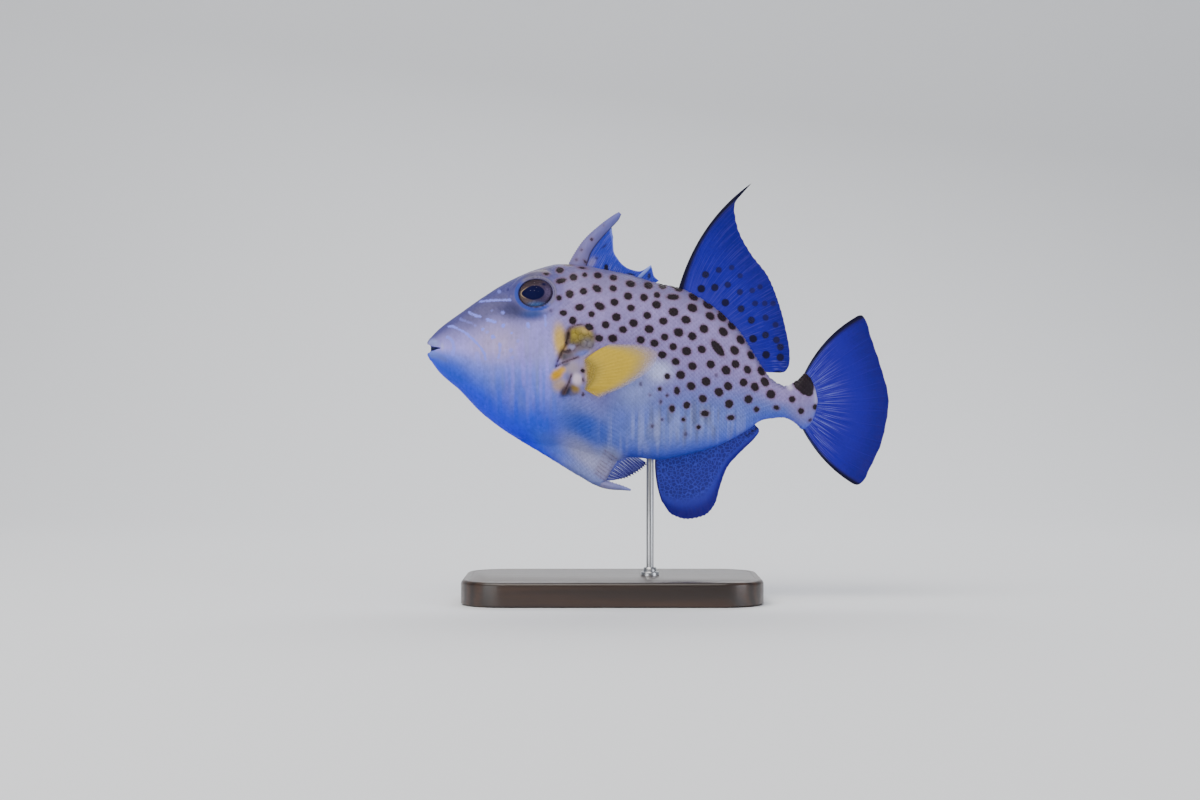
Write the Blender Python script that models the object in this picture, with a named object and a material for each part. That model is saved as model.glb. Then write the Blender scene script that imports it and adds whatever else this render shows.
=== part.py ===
"""Bluespotted triggerfish: a still, life-size model, held by a display stand.

The fish looks along -X, its back is up (+Z) and its left side is towards -Y. The origin
is the middle of the base's underside. Outlines are given in millimetres as pairs of
(distance behind the snout tip, height above the mouth line).
"""

import math
from dataclasses import dataclass

import bmesh
import bpy
import numpy as np
from mathutils import Matrix, Vector

MM = 0.001
GAP = 0.3 * MM

# Where the fish floats over the base
SNOUT_X = -60.3
MOUTH_Z = 81.6

# Side outline of the flesh: back, belly and the keel under the belly
BACK = (
    (0.0, 1.4), (1.3, 3.2), (4.5, 6.5), (11.0, 11.3), (17.5, 15.9), (24.0, 20.1),
    (30.5, 23.5), (36.9, 25.9), (43.4, 27.3), (49.0, 27.2), (56.5, 25.7), (66.1, 23.6),
    (74.0, 21.2), (82.3, 19.3), (88.8, 16.2), (95.3, 11.7), (101.7, 5.2), (106.6, -2.6),
    (109.8, -7.5), (113.1, -10.9), (116.3, -12.2), (119.5, -11.0), (122.8, -8.3),
    (124.6, -9.6), (126.2, -13.0), (127.0, -16.6),
)
KEEL = (
    (0.0, -1.8), (1.3, -3.9), (4.5, -8.2), (11.0, -13.9), (17.5, -20.7), (24.0, -25.9),
    (30.5, -30.1), (36.9, -33.9), (43.4, -37.9), (49.9, -41.8), (56.4, -44.9),
    (58.3, -43.2), (60.3, -39.6), (62.8, -36.4), (66.0, -35.4), (70.0, -35.8),
    (75.0, -36.4), (82.0, -35.3), (88.8, -33.7), (96.9, -30.8), (103.4, -27.2),
    (109.8, -23.3), (115.6, -22.7), (119.6, -24.4), (122.2, -26.6), (124.4, -25.2),
    (126.2, -21.5), (127.0, -17.8),
)
# How far the round of the belly ends over the keel, and half the keel's own thickness
BELLY_RISE = (
    (0.0, 0.0), (26.0, 0.0), (37.0, 2.6), (46.0, 7.4), (56.4, 10.0), (62.8, 0.0), (130.0, 0.0),
)
KEEL_HALF = (
    (0.0, 0.0), (26.0, 0.0), (37.0, 1.3), (46.0, 2.0), (57.0, 2.0), (61.5, 0.6), (64.0, 0.0),
    (130.0, 0.0),
)

# Half width of the flesh, and the height at which it is widest
GIRTH = (
    (0.0, 1.6), (1.6, 2.5), (4.5, 4.3), (11.0, 6.6), (24.0, 9.5), (37.0, 11.6), (47.0, 12.7),
    (58.0, 12.5), (72.0, 10.9), (85.0, 8.5), (97.0, 6.1), (106.0, 4.5), (113.0, 3.6),
    (119.0, 3.0), (124.0, 2.1), (126.2, 1.5), (127.0, 1.0),
)
WIDEST = (
    (0.0, 0.0), (11.0, -0.6), (24.0, 0.4), (37.0, 1.2), (47.0, 0.0), (60.0, -3.0),
    (75.0, -7.0), (90.0, -10.5), (105.0, -13.6), (113.0, -17.0), (127.0, -17.2),
)
BACK_ROUNDNESS = 2.25
BELLY_ROUNDNESS = ((0.0, 2.0), (10.0, 1.7), (45.0, 1.75), (75.0, 1.9), (130.0, 2.0))
KEEL_BLEND = 3.0
BELLY_CROWDING = 1.25

# Rings of the loft: (start of a stretch, number of rings in it)
RING_STRETCHES = ((0.9, 7), (12.0, 11), (54.0, 8), (68.0, 9), (104.0, 7), (120.5, 6))
LAST_RING = 126.9
BACK_STEPS = 9
BELLY_STEPS = 11

# Cuts between head, trunk and tail stalk: (distance, height) of two points on each plane
HEAD_CUT = ((46.3, 28.0), (41.0, -40.0))
TAIL_CUT = ((110.6, 0.0), (110.6, -30.0))

# Mouth, nostrils, eye and gill
LIP_CENTRE = (2.0, -0.3)
LIP_SIDE_RADIUS = 2.5
LIP_RISE_RADIUS = 3.1
LIP_THICKNESS = 1.25
LIP_FILL = 1.1
LIP_FACES = (20, 8)
MOUTH_GAPE = 2.1
MOUTH_CORNER_GAPE = 0.3
MOUTH_FRONT = -0.6
MOUTH_DEPTH = 4.1
MOUTH_HALF_WIDTH = 7.0
EYE_CENTRE = (35.8, 17.3)
EYE_RADIUS = 6.2
EYE_HALF_DEPTH = 3.6
EYE_BULGE = 1.8
EYE_MOUND = (7.4, 7.4, 2.3)
EYE_MOUND_SUNK = 1.0
EYE_RIM = 0.6
EYE_FACES = (22, 12)
SOCKET_FACES = (24, 14)
RIM_FACES = (24, 6)
NOSTRILS = ((26.6, 18.6), (28.0, 16.6))
NOSTRIL_RADIUS = 0.45
NOSTRIL_RIM = 0.3
NOSTRIL_DEPTH = 2.0
GILL_SLIT = ((46.0, 3.6), (42.6, -6.6))
GILL_SLIT_WIDTH = 1.1
GILL_SLIT_DEPTH = 2.6
GILL_SLIT_FACES = (12, 10)

# Enlarged bony plates behind the gill slit: (distance, height) of each plate's middle
PLATE_ROWS = 3
PLATES_IN_ROW = 3
PLATE_FIRST = (47.6, 4.4)
PLATE_STEP = (2.9, -0.2)
PLATE_ROW_STEP = (-0.7, -3.0)
PLATE_RADIUS = 1.6
PLATE_RAISED = 0.45
PLATE_ROOT = 1.6
PLATE_SIDES = 7
PLATE_TURN = 0.35

# First dorsal spine: (distance, height, half chord, half thickness) up its middle line
SPINE = (
    (48.2, 24.4, 2.9, 2.0), (49.8, 28.2, 2.6, 1.9), (51.5, 31.8, 2.15, 1.6),
    (53.8, 34.9, 1.95, 1.4), (56.4, 37.6, 1.7, 1.25), (59.1, 40.1, 1.45, 1.05),
    (61.6, 42.3, 1.1, 0.8), (62.9, 43.7, 0.55, 0.4),
)
SPINE_SIDES = 12
PELVIC_SPINE = (
    (54.6, -42.6, 1.5, 1.6), (57.6, -44.0, 1.35, 1.45), (60.6, -44.8, 1.1, 1.1),
    (63.4, -45.3, 0.75, 0.75), (66.4, -46.0, 0.3, 0.3),
)
PELVIC_SPINE_SIDES = 10
BARBS = 4
BARB_LENGTH = 1.5
BARB_RADIUS = 0.55
BARB_LEAN = (1.0, 0.45, -0.12)

# Key rays of each fin: (share of the fin, root distance, root height or None for on the
# outline, tip distance, tip height, how far the ray's middle bows forwards)
SOFT_DORSAL_RAYS = (
    (0.00, 82.6, None, 105.6, 53.5, 3.9), (0.08, 84.9, None, 100.1, 46.0, 3.0),
    (0.16, 87.2, None, 101.1, 39.5, 2.2), (0.30, 91.0, None, 105.2, 31.0, 1.1),
    (0.46, 95.9, None, 110.8, 23.3, 0.6), (0.62, 99.8, None, 113.9, 15.6, 0.3),
    (0.77, 103.4, None, 116.3, 7.1, 0.0), (0.90, 107.0, None, 117.9, -1.9, 0.0),
    (1.00, 110.0, None, 118.0, -8.2, 0.0),
)
ANAL_RAYS = (
    (0.00, 74.6, None, 76.5, -49.9, 0.8), (0.12, 76.9, None, 79.7, -54.1, 0.5),
    (0.28, 80.2, None, 84.6, -55.6, 0.3), (0.45, 84.6, None, 90.1, -54.4, 0.1),
    (0.60, 88.8, None, 93.6, -50.5, 0.0), (0.72, 92.3, None, 95.3, -44.7, -0.2),
    (0.82, 95.9, None, 97.5, -38.9, 0.0), (0.91, 100.4, None, 102.1, -33.6, 0.0),
    (1.00, 106.6, None, 109.2, -27.4, 0.0),
)
CAUDAL_RAYS = (
    (0.00, 122.3, -9.9, 141.9, 11.0, 2.8), (0.12, 123.2, -11.9, 144.0, 4.5, 1.5),
    (0.30, 124.2, -14.3, 147.4, -5.8, 0.5), (0.50, 124.7, -17.4, 150.0, -17.2, 0.0),
    (0.70, 124.2, -20.7, 148.1, -29.2, 0.4), (0.88, 123.2, -23.5, 143.5, -39.9, 1.5),
    (1.00, 122.0, -25.3, 140.9, -45.4, 2.4),
)
SPINY_WEB_RAYS = (
    (0.00, 51.4, None, 60.3, 39.0, 1.3), (0.12, 54.4, None, 60.7, 36.0, 0.4),
    (0.26, 57.3, None, 60.8, 32.1, 0.0), (0.40, 60.6, None, 62.5, 28.5, 0.0),
    (0.55, 64.2, None, 65.4, 25.9, 0.0), (0.70, 67.7, None, 69.3, 24.9, 0.0),
    (0.80, 69.7, None, 72.9, 26.6, 0.0), (0.90, 72.3, None, 73.9, 23.4, 0.0),
    (1.00, 74.3, None, 75.5, 21.8, 0.0),
)
PELVIC_FLAP_RAYS = (
    (0.00, 58.2, None, 61.5, -42.6, 0.0), (0.25, 60.8, None, 64.3, -42.5, 0.0),
    (0.50, 63.6, None, 67.0, -41.8, 0.0), (0.75, 66.6, None, 69.2, -40.9, 0.0),
    (1.00, 69.3, None, 70.9, -39.6, 0.0),
)
PECTORAL_RAYS = (
    (0.00, 51.7, -4.6, 60.3, 1.0, 0.8), (0.20, 51.5, -6.4, 68.7, 0.6, 0.6),
    (0.40, 51.4, -8.2, 74.8, -2.3, 0.3), (0.60, 51.4, -10.0, 72.9, -6.5, 0.0),
    (0.80, 51.5, -11.8, 66.7, -11.3, -0.4), (1.00, 51.7, -13.6, 56.4, -16.2, -0.6),
)
PECTORAL_ROOT = 51.3
PECTORAL_FLARE = math.radians(15.0)
PECTORAL_SINK = 0.5
FLESHY_ROOT = 0.16
WAVE_GROWTH = 1.6
WAVE_START = 0.6

# Display stand
BASE_LENGTH = 96.0
BASE_WIDTH = 58.0
BASE_HEIGHT = 8.0
BASE_CORNER = 14.0
BASE_EDGE = 1.2
ROD_DISTANCE = 72.6
ROD_RADIUS = 1.2
ROD_SOCKET_DEPTH = 5.0
ROD_IN_BELLY = 2.0
ROD_SIDES = 16
FERRULE_RADIUS = 3.0
FERRULE_HEIGHT = 2.4

# sRGB colour, roughness and metallic value of each finish
FINISHES = {
    "skin_head": ((0.69, 0.66, 0.75), 0.42, 0.0),
    "skin_trunk": ((0.71, 0.68, 0.78), 0.42, 0.0),
    "fin_web": ((0.20, 0.33, 0.66), 0.38, 0.0),
    "fin_yellow": ((0.78, 0.68, 0.34), 0.40, 0.0),
    "bony_spine": ((0.66, 0.62, 0.72), 0.45, 0.0),
    "eye_dark": ((0.10, 0.08, 0.11), 0.12, 0.0),
    "base_wood": ((0.16, 0.11, 0.08), 0.45, 0.0),
    "steel_rod": ((0.62, 0.62, 0.63), 0.30, 1.0),
}


def clear_scene():
    """Remove what the scene holds at the start."""
    for obj in list(bpy.data.objects):
        bpy.data.objects.remove(obj)


def smooth_value(pairs, at):
    """Value at a distance on a smooth curve through (distance, value) pairs, with no overshoot."""
    xs = [p[0] for p in pairs]
    ys = [p[1] for p in pairs]
    at = min(max(at, xs[0]), xs[-1])
    k = min(max(int(np.searchsorted(xs, at)) - 1, 0), len(xs) - 2)
    slopes = [(ys[i + 1] - ys[i]) / (xs[i + 1] - xs[i]) for i in range(len(xs) - 1)]

    def tangent(i):
        """Slope of the curve at point i: the harmonic mean of its two stretches."""
        if i == 0 or i == len(xs) - 1:
            return slopes[0 if i == 0 else -1]
        before, after = slopes[i - 1], slopes[i]
        if before * after <= 0:
            return 0.0
        return 2 * before * after / (before + after)

    span = xs[k + 1] - xs[k]
    t = (at - xs[k]) / span
    return (
        ys[k] * (1 + 2 * t) * (1 - t) ** 2
        + ys[k + 1] * t * t * (3 - 2 * t)
        + tangent(k) * span * t * (1 - t) ** 2
        - tangent(k + 1) * span * t * t * (1 - t)
    )


def place(distance, height, side=0.0):
    """World point, in metres, of a distance behind the snout, a height and a side offset."""
    return Vector(((SNOUT_X + distance) * MM, side * MM, (MOUTH_Z + height) * MM))


def half_width(distance, height):
    """Half width, in millimetres, of the body and the keel under it at a point of the side view."""
    girth = smooth_value(GIRTH, distance)
    widest = smooth_value(WIDEST, distance)
    if height >= widest:
        reach = smooth_value(BACK, distance) - widest
        share = min((height - widest) / reach, 1.0)
        return girth * (1 - share**BACK_ROUNDNESS) ** (1 / BACK_ROUNDNESS)
    keel = smooth_value(KEEL, distance)
    belly = keel + smooth_value(BELLY_RISE, distance)
    roundness = smooth_value(BELLY_ROUNDNESS, distance)
    share = min((widest - height) / (widest - belly), 1.0)
    flesh = girth * (1 - share**roundness) ** (1 / roundness)
    plate = smooth_value(KEEL_HALF, distance)
    if plate > 0:
        tip = min(max((height - keel) / plate, 0.0), 1.0)
        plate *= math.sqrt(1 - (1 - tip) ** 2)
    return (flesh**KEEL_BLEND + plate**KEEL_BLEND) ** (1 / KEEL_BLEND)


def ring_distances():
    """Distances behind the snout of the rings of the flesh."""
    found = []
    for k, (start, count) in enumerate(RING_STRETCHES):
        end = RING_STRETCHES[k + 1][0] if k + 1 < len(RING_STRETCHES) else LAST_RING
        found += [start + (end - start) * i / count for i in range(count)]
    return found + [LAST_RING]


def body_ring(distance):
    """Points round the flesh at a distance: back ridge, right side, keel, left side."""
    top = smooth_value(BACK, distance)
    low = smooth_value(KEEL, distance)
    widest = smooth_value(WIDEST, distance)
    right = []
    for i in range(BACK_STEPS + 1):
        rise = math.sin(math.pi / 2 * (1 - i / BACK_STEPS)) ** (2 / BACK_ROUNDNESS)
        height = widest + (top - widest) * rise
        right.append((height, half_width(distance, height) if i else 0.0))
    for i in range(1, BELLY_STEPS + 1):
        drop = math.sin(math.pi / 2 * i / BELLY_STEPS) ** BELLY_CROWDING
        height = widest - (widest - low) * drop
        right.append((height, half_width(distance, height) if i < BELLY_STEPS else 0.0))
    left = [(height, -side) for height, side in right[-2:0:-1]]
    return [place(distance, height, side) for height, side in right + left]


def loft(bm, rings):
    """Skin of quads over rings of equally many points, closed at both ends."""
    rows = [[bm.verts.new(point) for point in ring] for ring in rings]
    count = len(rows[0])
    for near, far in zip(rows, rows[1:]):
        for i in range(count):
            j = (i + 1) % count
            bm.faces.new((near[i], near[j], far[j], far[i]))
    bm.faces.new(rows[0][::-1])
    bm.faces.new(rows[-1])
    bmesh.ops.recalc_face_normals(bm, faces=bm.faces)


def finish_object(name, bm, finish, collection):
    """Turn a bmesh into a named, triangulated, smooth-shaded object with a finish."""
    bmesh.ops.triangulate(bm, faces=bm.faces)
    mesh = bpy.data.meshes.new(name)
    bm.to_mesh(mesh)
    bm.free()
    obj = bpy.data.objects.new(name, mesh)
    collection.objects.link(obj)
    if finish:
        obj.data.materials.append(finish)
    mesh.shade_smooth()
    mesh.set_sharp_from_angle(angle=math.radians(40))
    return obj


def take_modifiers(obj):
    """Replace an object's mesh by its evaluated one and drop its modifiers."""
    graph = bpy.context.evaluated_depsgraph_get()
    mesh = bpy.data.meshes.new_from_object(obj.evaluated_get(graph))
    obj.modifiers.clear()
    obj.data = mesh
    return obj


def keep_largest(obj):
    """Keep only the closed surface that spans the most, which drops loose scraps."""
    bm = bmesh.new()
    bm.from_mesh(obj.data)
    bmesh.ops.remove_doubles(bm, verts=bm.verts, dist=1e-7)
    left = set(bm.verts)
    groups = []
    while left:
        stack = [left.pop()]
        group = list(stack)
        while stack:
            for edge in stack.pop().link_edges:
                for vert in edge.verts:
                    if vert in left:
                        left.remove(vert)
                        stack.append(vert)
                        group.append(vert)
        groups.append(group)
    groups.sort(key=len)
    loose = [vert for group in groups[:-1] for vert in group]
    bmesh.ops.delete(bm, geom=loose, context="VERTS")
    bmesh.ops.dissolve_degenerate(bm, edges=bm.edges, dist=2e-6)
    bmesh.ops.triangulate(bm, faces=bm.faces)
    bm.to_mesh(obj.data)
    bm.free()
    return obj


def combine(obj, operands, operation):
    """Join a list of closed objects to obj, or cut them from it, and remove them."""
    group = bpy.data.collections.new("operands")
    for operand in operands:
        group.objects.link(operand)
    modifier = obj.modifiers.new("combine", "BOOLEAN")
    modifier.operand_type = "COLLECTION"
    modifier.collection = group
    modifier.operation = operation
    take_modifiers(obj)
    for operand in operands:
        bpy.data.objects.remove(operand)
    bpy.data.collections.remove(group)
    return keep_largest(obj)


def cut_by(obj, cutter):
    """Cut a lasting cutter from obj."""
    modifier = obj.modifiers.new("cut", "BOOLEAN")
    modifier.object = cutter
    modifier.operation = "DIFFERENCE"
    take_modifiers(obj)
    return keep_largest(obj)


def grown_copy(obj, margin, collection):
    """A cutter: obj with its surface moved outwards by a margin along its normals."""
    bm = bmesh.new()
    bm.from_mesh(obj.data)
    bm.normal_update()
    moves = [vert.normal * vert.calc_shell_factor() * margin for vert in bm.verts]
    for vert, move in zip(bm.verts, moves):
        vert.co += move
    cutter = finish_object(obj.name + "_clearance", bm, None, collection)
    cutter.hide_render = True
    cutter.display_type = "WIRE"
    return cutter


def body_loft(name, finish, collection):
    """The whole fish's flesh as one closed loft."""
    bm = bmesh.new()
    loft(bm, [body_ring(distance) for distance in ring_distances()])
    return finish_object(name, bm, finish, collection)


def part_off(source, name, planes, finish, collection):
    """Copy of source kept between planes.

    Each plane is two points of the side view, and whether the part behind it is kept.
    """
    bm = bmesh.new()
    bm.from_mesh(source.data)
    for first, second, keep_behind in planes:
        a, b = place(*first), place(*second)
        along = (b - a).normalized()
        normal = along.cross(Vector((0.0, 1.0, 0.0)))
        if (normal.x > 0) == keep_behind:
            normal = -normal
        edge = a - normal * (GAP / 2)
        geometry = list(bm.verts) + list(bm.edges) + list(bm.faces)
        bmesh.ops.bisect_plane(bm, geom=geometry, plane_co=edge, plane_no=normal, clear_outer=True)
        rim = [e for e in bm.edges if e.is_boundary]
        bmesh.ops.triangle_fill(bm, edges=rim, use_beauty=True)
        bmesh.ops.recalc_face_normals(bm, faces=bm.faces)
    return finish_object(name, bm, finish, collection)


def surface_frame(distance, height, side):
    """Turn and place of a piece whose +Z points out of the flank at a point of the side view."""
    step = 0.4
    y = half_width(distance, height)
    lean = half_width(distance + step, height) - half_width(distance - step, height)
    rise = half_width(distance, height + step) - half_width(distance, height - step)
    along = Vector((2 * step, side * lean, 0))
    up = Vector((0, side * rise, 2 * step))
    out = along.cross(up).normalized()
    if out.y * side < 0:
        out = -out
    forward = along.normalized()
    frame = Matrix((forward, out.cross(forward), out)).transposed().to_4x4()
    return Matrix.Translation(place(distance, height, side * y)) @ frame


def ellipsoid(centre_frame, radii, segments, rings):
    """Closed ellipsoid object with radii in millimetres, in a frame."""
    bm = bmesh.new()
    bmesh.ops.create_uvsphere(bm, u_segments=segments, v_segments=rings, radius=MM)
    bm.transform(centre_frame @ Matrix.Diagonal((*radii, 1.0)))
    return finish_object("ellipsoid", bm, None, bpy.context.scene.collection)


def frustum(frame, low_radius, high_radius, height, sides, base=0.0):
    """Closed cone or drum object from base to base + height up a frame's Z, in millimetres."""
    bm = bmesh.new()
    low, high, depth = low_radius * MM, high_radius * MM, height * MM
    bmesh.ops.create_cone(bm, cap_ends=True, segments=sides, radius1=low, radius2=high, depth=depth)
    bm.transform(frame @ Matrix.Translation((0, 0, (base + height / 2) * MM)))
    return finish_object("frustum", bm, None, bpy.context.scene.collection)


def torus(frame, radius, thickness, segments, sides, stretch=1.0):
    """Closed ring object round a frame's Z. stretch scales it along the frame's Y."""
    bpy.ops.mesh.primitive_torus_add(
        major_segments=segments, minor_segments=sides, major_radius=radius * MM, minor_radius=thickness * MM
    )
    obj = bpy.context.object
    obj.data.transform(frame @ Matrix.Diagonal((1.0, stretch, 1.0, 1.0)))
    return obj


def lips():
    """Swollen rim round the mouth, upright and facing forwards."""
    frame = Matrix.Translation(place(*LIP_CENTRE)) @ Matrix.Rotation(math.pi / 2, 4, "Y")
    ring = torus(frame, LIP_RISE_RADIUS, LIP_THICKNESS, *LIP_FACES, LIP_SIDE_RADIUS / LIP_RISE_RADIUS)
    fill = (LIP_FILL, LIP_SIDE_RADIUS, LIP_RISE_RADIUS)
    plug = ellipsoid(Matrix.Translation(place(*LIP_CENTRE)), fill, 12, 8)
    return [ring, plug]


def mouth_cutter():
    """Wedge that opens the mouth from the front to its corners."""
    bm = bmesh.new()
    bmesh.ops.create_cube(bm, size=1.0)
    for vert in bm.verts:
        front = vert.co.x < 0
        distance = MOUTH_FRONT if front else MOUTH_DEPTH
        open_by = MOUTH_GAPE if front else MOUTH_CORNER_GAPE
        height = LIP_CENTRE[1] + math.copysign(open_by / 2, vert.co.z)
        vert.co = place(distance, height, math.copysign(MOUTH_HALF_WIDTH, vert.co.y))
    return finish_object("mouth", bm, None, bpy.context.scene.collection)


def eye_frame(side):
    """Middle of an eyeball, with +Z out of the head."""
    frame = surface_frame(*EYE_CENTRE, side)
    return frame @ Matrix.Translation((0, 0, (EYE_BULGE - EYE_HALF_DEPTH) * MM))


def rim_radius():
    """Radius of the circle where the eyeball leaves the head."""
    return EYE_RADIUS * math.sqrt(1 - (1 - EYE_BULGE / EYE_HALF_DEPTH) ** 2)


def dress_head(head):
    """Add lips and eye rims, then open the mouth, sockets, nostrils and the gill cover's edge."""
    added = lips()
    for side in (-1, 1):
        frame = surface_frame(*EYE_CENTRE, side)
        sunk = frame @ Matrix.Translation((0, 0, -EYE_MOUND_SUNK * MM))
        added.append(ellipsoid(sunk, EYE_MOUND, *EYE_FACES))
        added.append(torus(frame, rim_radius() + EYE_RIM, EYE_RIM, *RIM_FACES))
        for distance, height in NOSTRILS:
            rim = surface_frame(distance, height, side)
            added.append(torus(rim, NOSTRIL_RADIUS + NOSTRIL_RIM, NOSTRIL_RIM, 10, 6))
    combine(head, added, "UNION")
    removed = [mouth_cutter()]
    for side in (-1, 1):
        socket = EYE_RADIUS + GAP / MM
        radii = (socket, socket, EYE_HALF_DEPTH + GAP / MM)
        removed.append(ellipsoid(eye_frame(side), radii, *SOCKET_FACES))
        for distance, height in NOSTRILS:
            frame = surface_frame(distance, height, side)
            sunk = -NOSTRIL_DEPTH / 2
            removed.append(
                frustum(frame, NOSTRIL_RADIUS / 2, NOSTRIL_RADIUS, NOSTRIL_DEPTH, 8, base=sunk)
            )
    return combine(head, removed, "DIFFERENCE")


def gill_slits():
    """Lens-shaped cutters that open the gill slit behind the gill cover."""
    found = []
    (d0, h0), (d1, h1) = GILL_SLIT
    tilt = math.atan2(d1 - d0, h1 - h0)
    length = math.hypot(d1 - d0, h1 - h0) / 2
    for side in (-1, 1):
        frame = surface_frame((d0 + d1) / 2, (h0 + h1) / 2, side)
        turned = frame @ Matrix.Rotation(tilt, 4, "Z")
        found.append(ellipsoid(turned, (GILL_SLIT_WIDTH / 2, length, GILL_SLIT_DEPTH), *GILL_SLIT_FACES))
    return found


def bony_plates():
    """Rows of enlarged scutes above the pectoral fin, each sunk in the flank."""
    found = []
    for side in (-1, 1):
        for row in range(PLATE_ROWS):
            for k in range(PLATES_IN_ROW - (row == PLATE_ROWS - 1)):
                distance = PLATE_FIRST[0] + k * PLATE_STEP[0] + row * PLATE_ROW_STEP[0]
                height = PLATE_FIRST[1] + k * PLATE_STEP[1] + row * PLATE_ROW_STEP[1]
                size = PLATE_RADIUS * (1 - 0.12 * row)
                depth = PLATE_ROOT + PLATE_RAISED
                frame = surface_frame(distance, height, side)
                frame = frame @ Matrix.Rotation(PLATE_TURN * k + row, 4, "Z")
                found.append(frustum(frame, size, size * 0.7, depth, PLATE_SIDES, base=-PLATE_ROOT))
    return found


def swept_spine(name, stations, sides, finish, collection):
    """Flattened, tapering spine along (distance, height, half chord, half thickness) stations."""
    middles = [Vector((d, h)) for d, h, _, _ in stations]
    rings = []
    for i, (d, h, chord, thick) in enumerate(stations):
        before = middles[max(i - 1, 0)]
        after = middles[min(i + 1, len(middles) - 1)]
        along = (after - before).normalized()
        across = Vector((-along.y, along.x))
        ring = []
        for k in range(sides):
            turn = 2 * math.pi * k / sides
            offset = across * (chord * math.cos(turn))
            ring.append(place(d + offset.x, h + offset.y, thick * math.sin(turn)))
        rings.append(ring)
    bm = bmesh.new()
    loft(bm, rings)
    return finish_object(name, bm, finish, collection)


def pelvic_barbs():
    """Short scaly prickles along both sides of the pelvic spine."""
    found = []
    for i in range(BARBS):
        share = (i + 0.6) / BARBS
        spot = share * (len(PELVIC_SPINE) - 2) + 1
        k = min(int(spot), len(PELVIC_SPINE) - 2)
        t = spot - k
        near, far = PELVIC_SPINE[k], PELVIC_SPINE[k + 1]
        d, h, chord, thick = (a + (b - a) * t for a, b in zip(near, far))
        for side in (-1, 1):
            lean = Vector((BARB_LEAN[0], side * BARB_LEAN[1], BARB_LEAN[2])).normalized()
            frame = Matrix.Translation(place(d - BARB_LENGTH / 2, h, side * thick * 0.55))
            frame = frame @ lean.to_track_quat("Z", "Y").to_matrix().to_4x4()
            size = BARB_RADIUS * (1 - 0.45 * share)
            found.append(frustum(frame, size, size * 0.15, BARB_LENGTH, 6, base=-0.1))
    return found


def key_ray(rays, share, sink, outline):
    """Points of one fin ray, interpolated between the key rays: root, control and tip."""

    def column(index):
        return [(ray[0], ray[index]) for ray in rays]

    root_d = smooth_value(column(1), share)
    if outline is None:
        root_h = smooth_value(column(2), share)
    else:
        root_h = smooth_value(outline, root_d)
    root = Vector((root_d, root_h))
    tip = Vector((smooth_value(column(3), share), smooth_value(column(4), share)))
    along = (tip - root).normalized()
    ahead = Vector((-along.y, along.x))
    if ahead.x > 0:
        ahead = -ahead
    bow = smooth_value(column(5), share)
    middle = (root + tip) / 2 + ahead * (2 * bow)
    return root - along * sink, middle, tip


def bezier(start, middle, end, t):
    """Point of a quadratic curve."""
    return start * (1 - t) ** 2 + middle * (2 * t * (1 - t)) + end * t * t


@dataclass(frozen=True)
class FinForm:
    """How a fin sheet is made, in millimetres.

    rays are its key rays, count is how many rays show as ridges, and rows is how many faces a
    ray has. outline carries the roots, and sink is how deep they start under it. web is the
    thickness of the membrane, and ridge what a ray adds to it. notch is the share of a ray that
    the membrane falls short between two rays, root_extra thickens the root, and wave is the
    largest sideways swing.
    """

    name: str
    rays: tuple
    count: int
    rows: int
    outline: tuple | None = None
    sink: float = 2.0
    web: float = 0.5
    ridge: float = 0.4
    notch: float = 0.02
    root_extra: float = 0.0
    wave: float = 0.0


SPINY_WEB = FinForm("dorsal_spiny_web", SPINY_WEB_RAYS, 9, 5, BACK, ridge=0.5, notch=0.05)
SOFT_DORSAL = FinForm("soft_dorsal_fin", SOFT_DORSAL_RAYS, 14, 8, BACK, root_extra=0.8, wave=1.6)
ANAL = FinForm("anal_fin", ANAL_RAYS, 13, 6, KEEL, root_extra=0.8, wave=1.4)
CAUDAL = FinForm("caudal_fin", CAUDAL_RAYS, 12, 8, sink=0.0, ridge=0.5, root_extra=0.7)
PELVIC_FLAP = FinForm("pelvic_flap", PELVIC_FLAP_RAYS, 8, 4, KEEL, sink=2.5, web=0.7, notch=0.16)
PECTORAL = FinForm(
    "pectoral_fin", PECTORAL_RAYS, 9, 6, sink=1.5, web=0.6, ridge=0.35, notch=0.03, root_extra=1.4
)


def fin_line(form, column, columns):
    """Middle, sideways swing and half thickness of a fin's points along one of its columns."""
    share = column / (columns - 1)
    root, middle, tip = key_ray(form.rays, share, form.sink, form.outline)
    on_ray = column % 2 == 0
    reach = 1.0 if on_ray else 1.0 - form.notch
    line = []
    for r in range(form.rows + 1):
        t = r / form.rows * reach
        swing = form.wave * t**WAVE_GROWTH * math.sin(2 * math.pi * share + WAVE_START)
        thick = form.web * (1 - 0.15 * t) + form.root_extra * math.exp(-((t / FLESHY_ROOT) ** 2))
        if on_ray:
            thick += form.ridge * (1 - 0.6 * t)
        line.append((bezier(root, middle, tip, t), swing, thick / 2))
    return line


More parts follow.
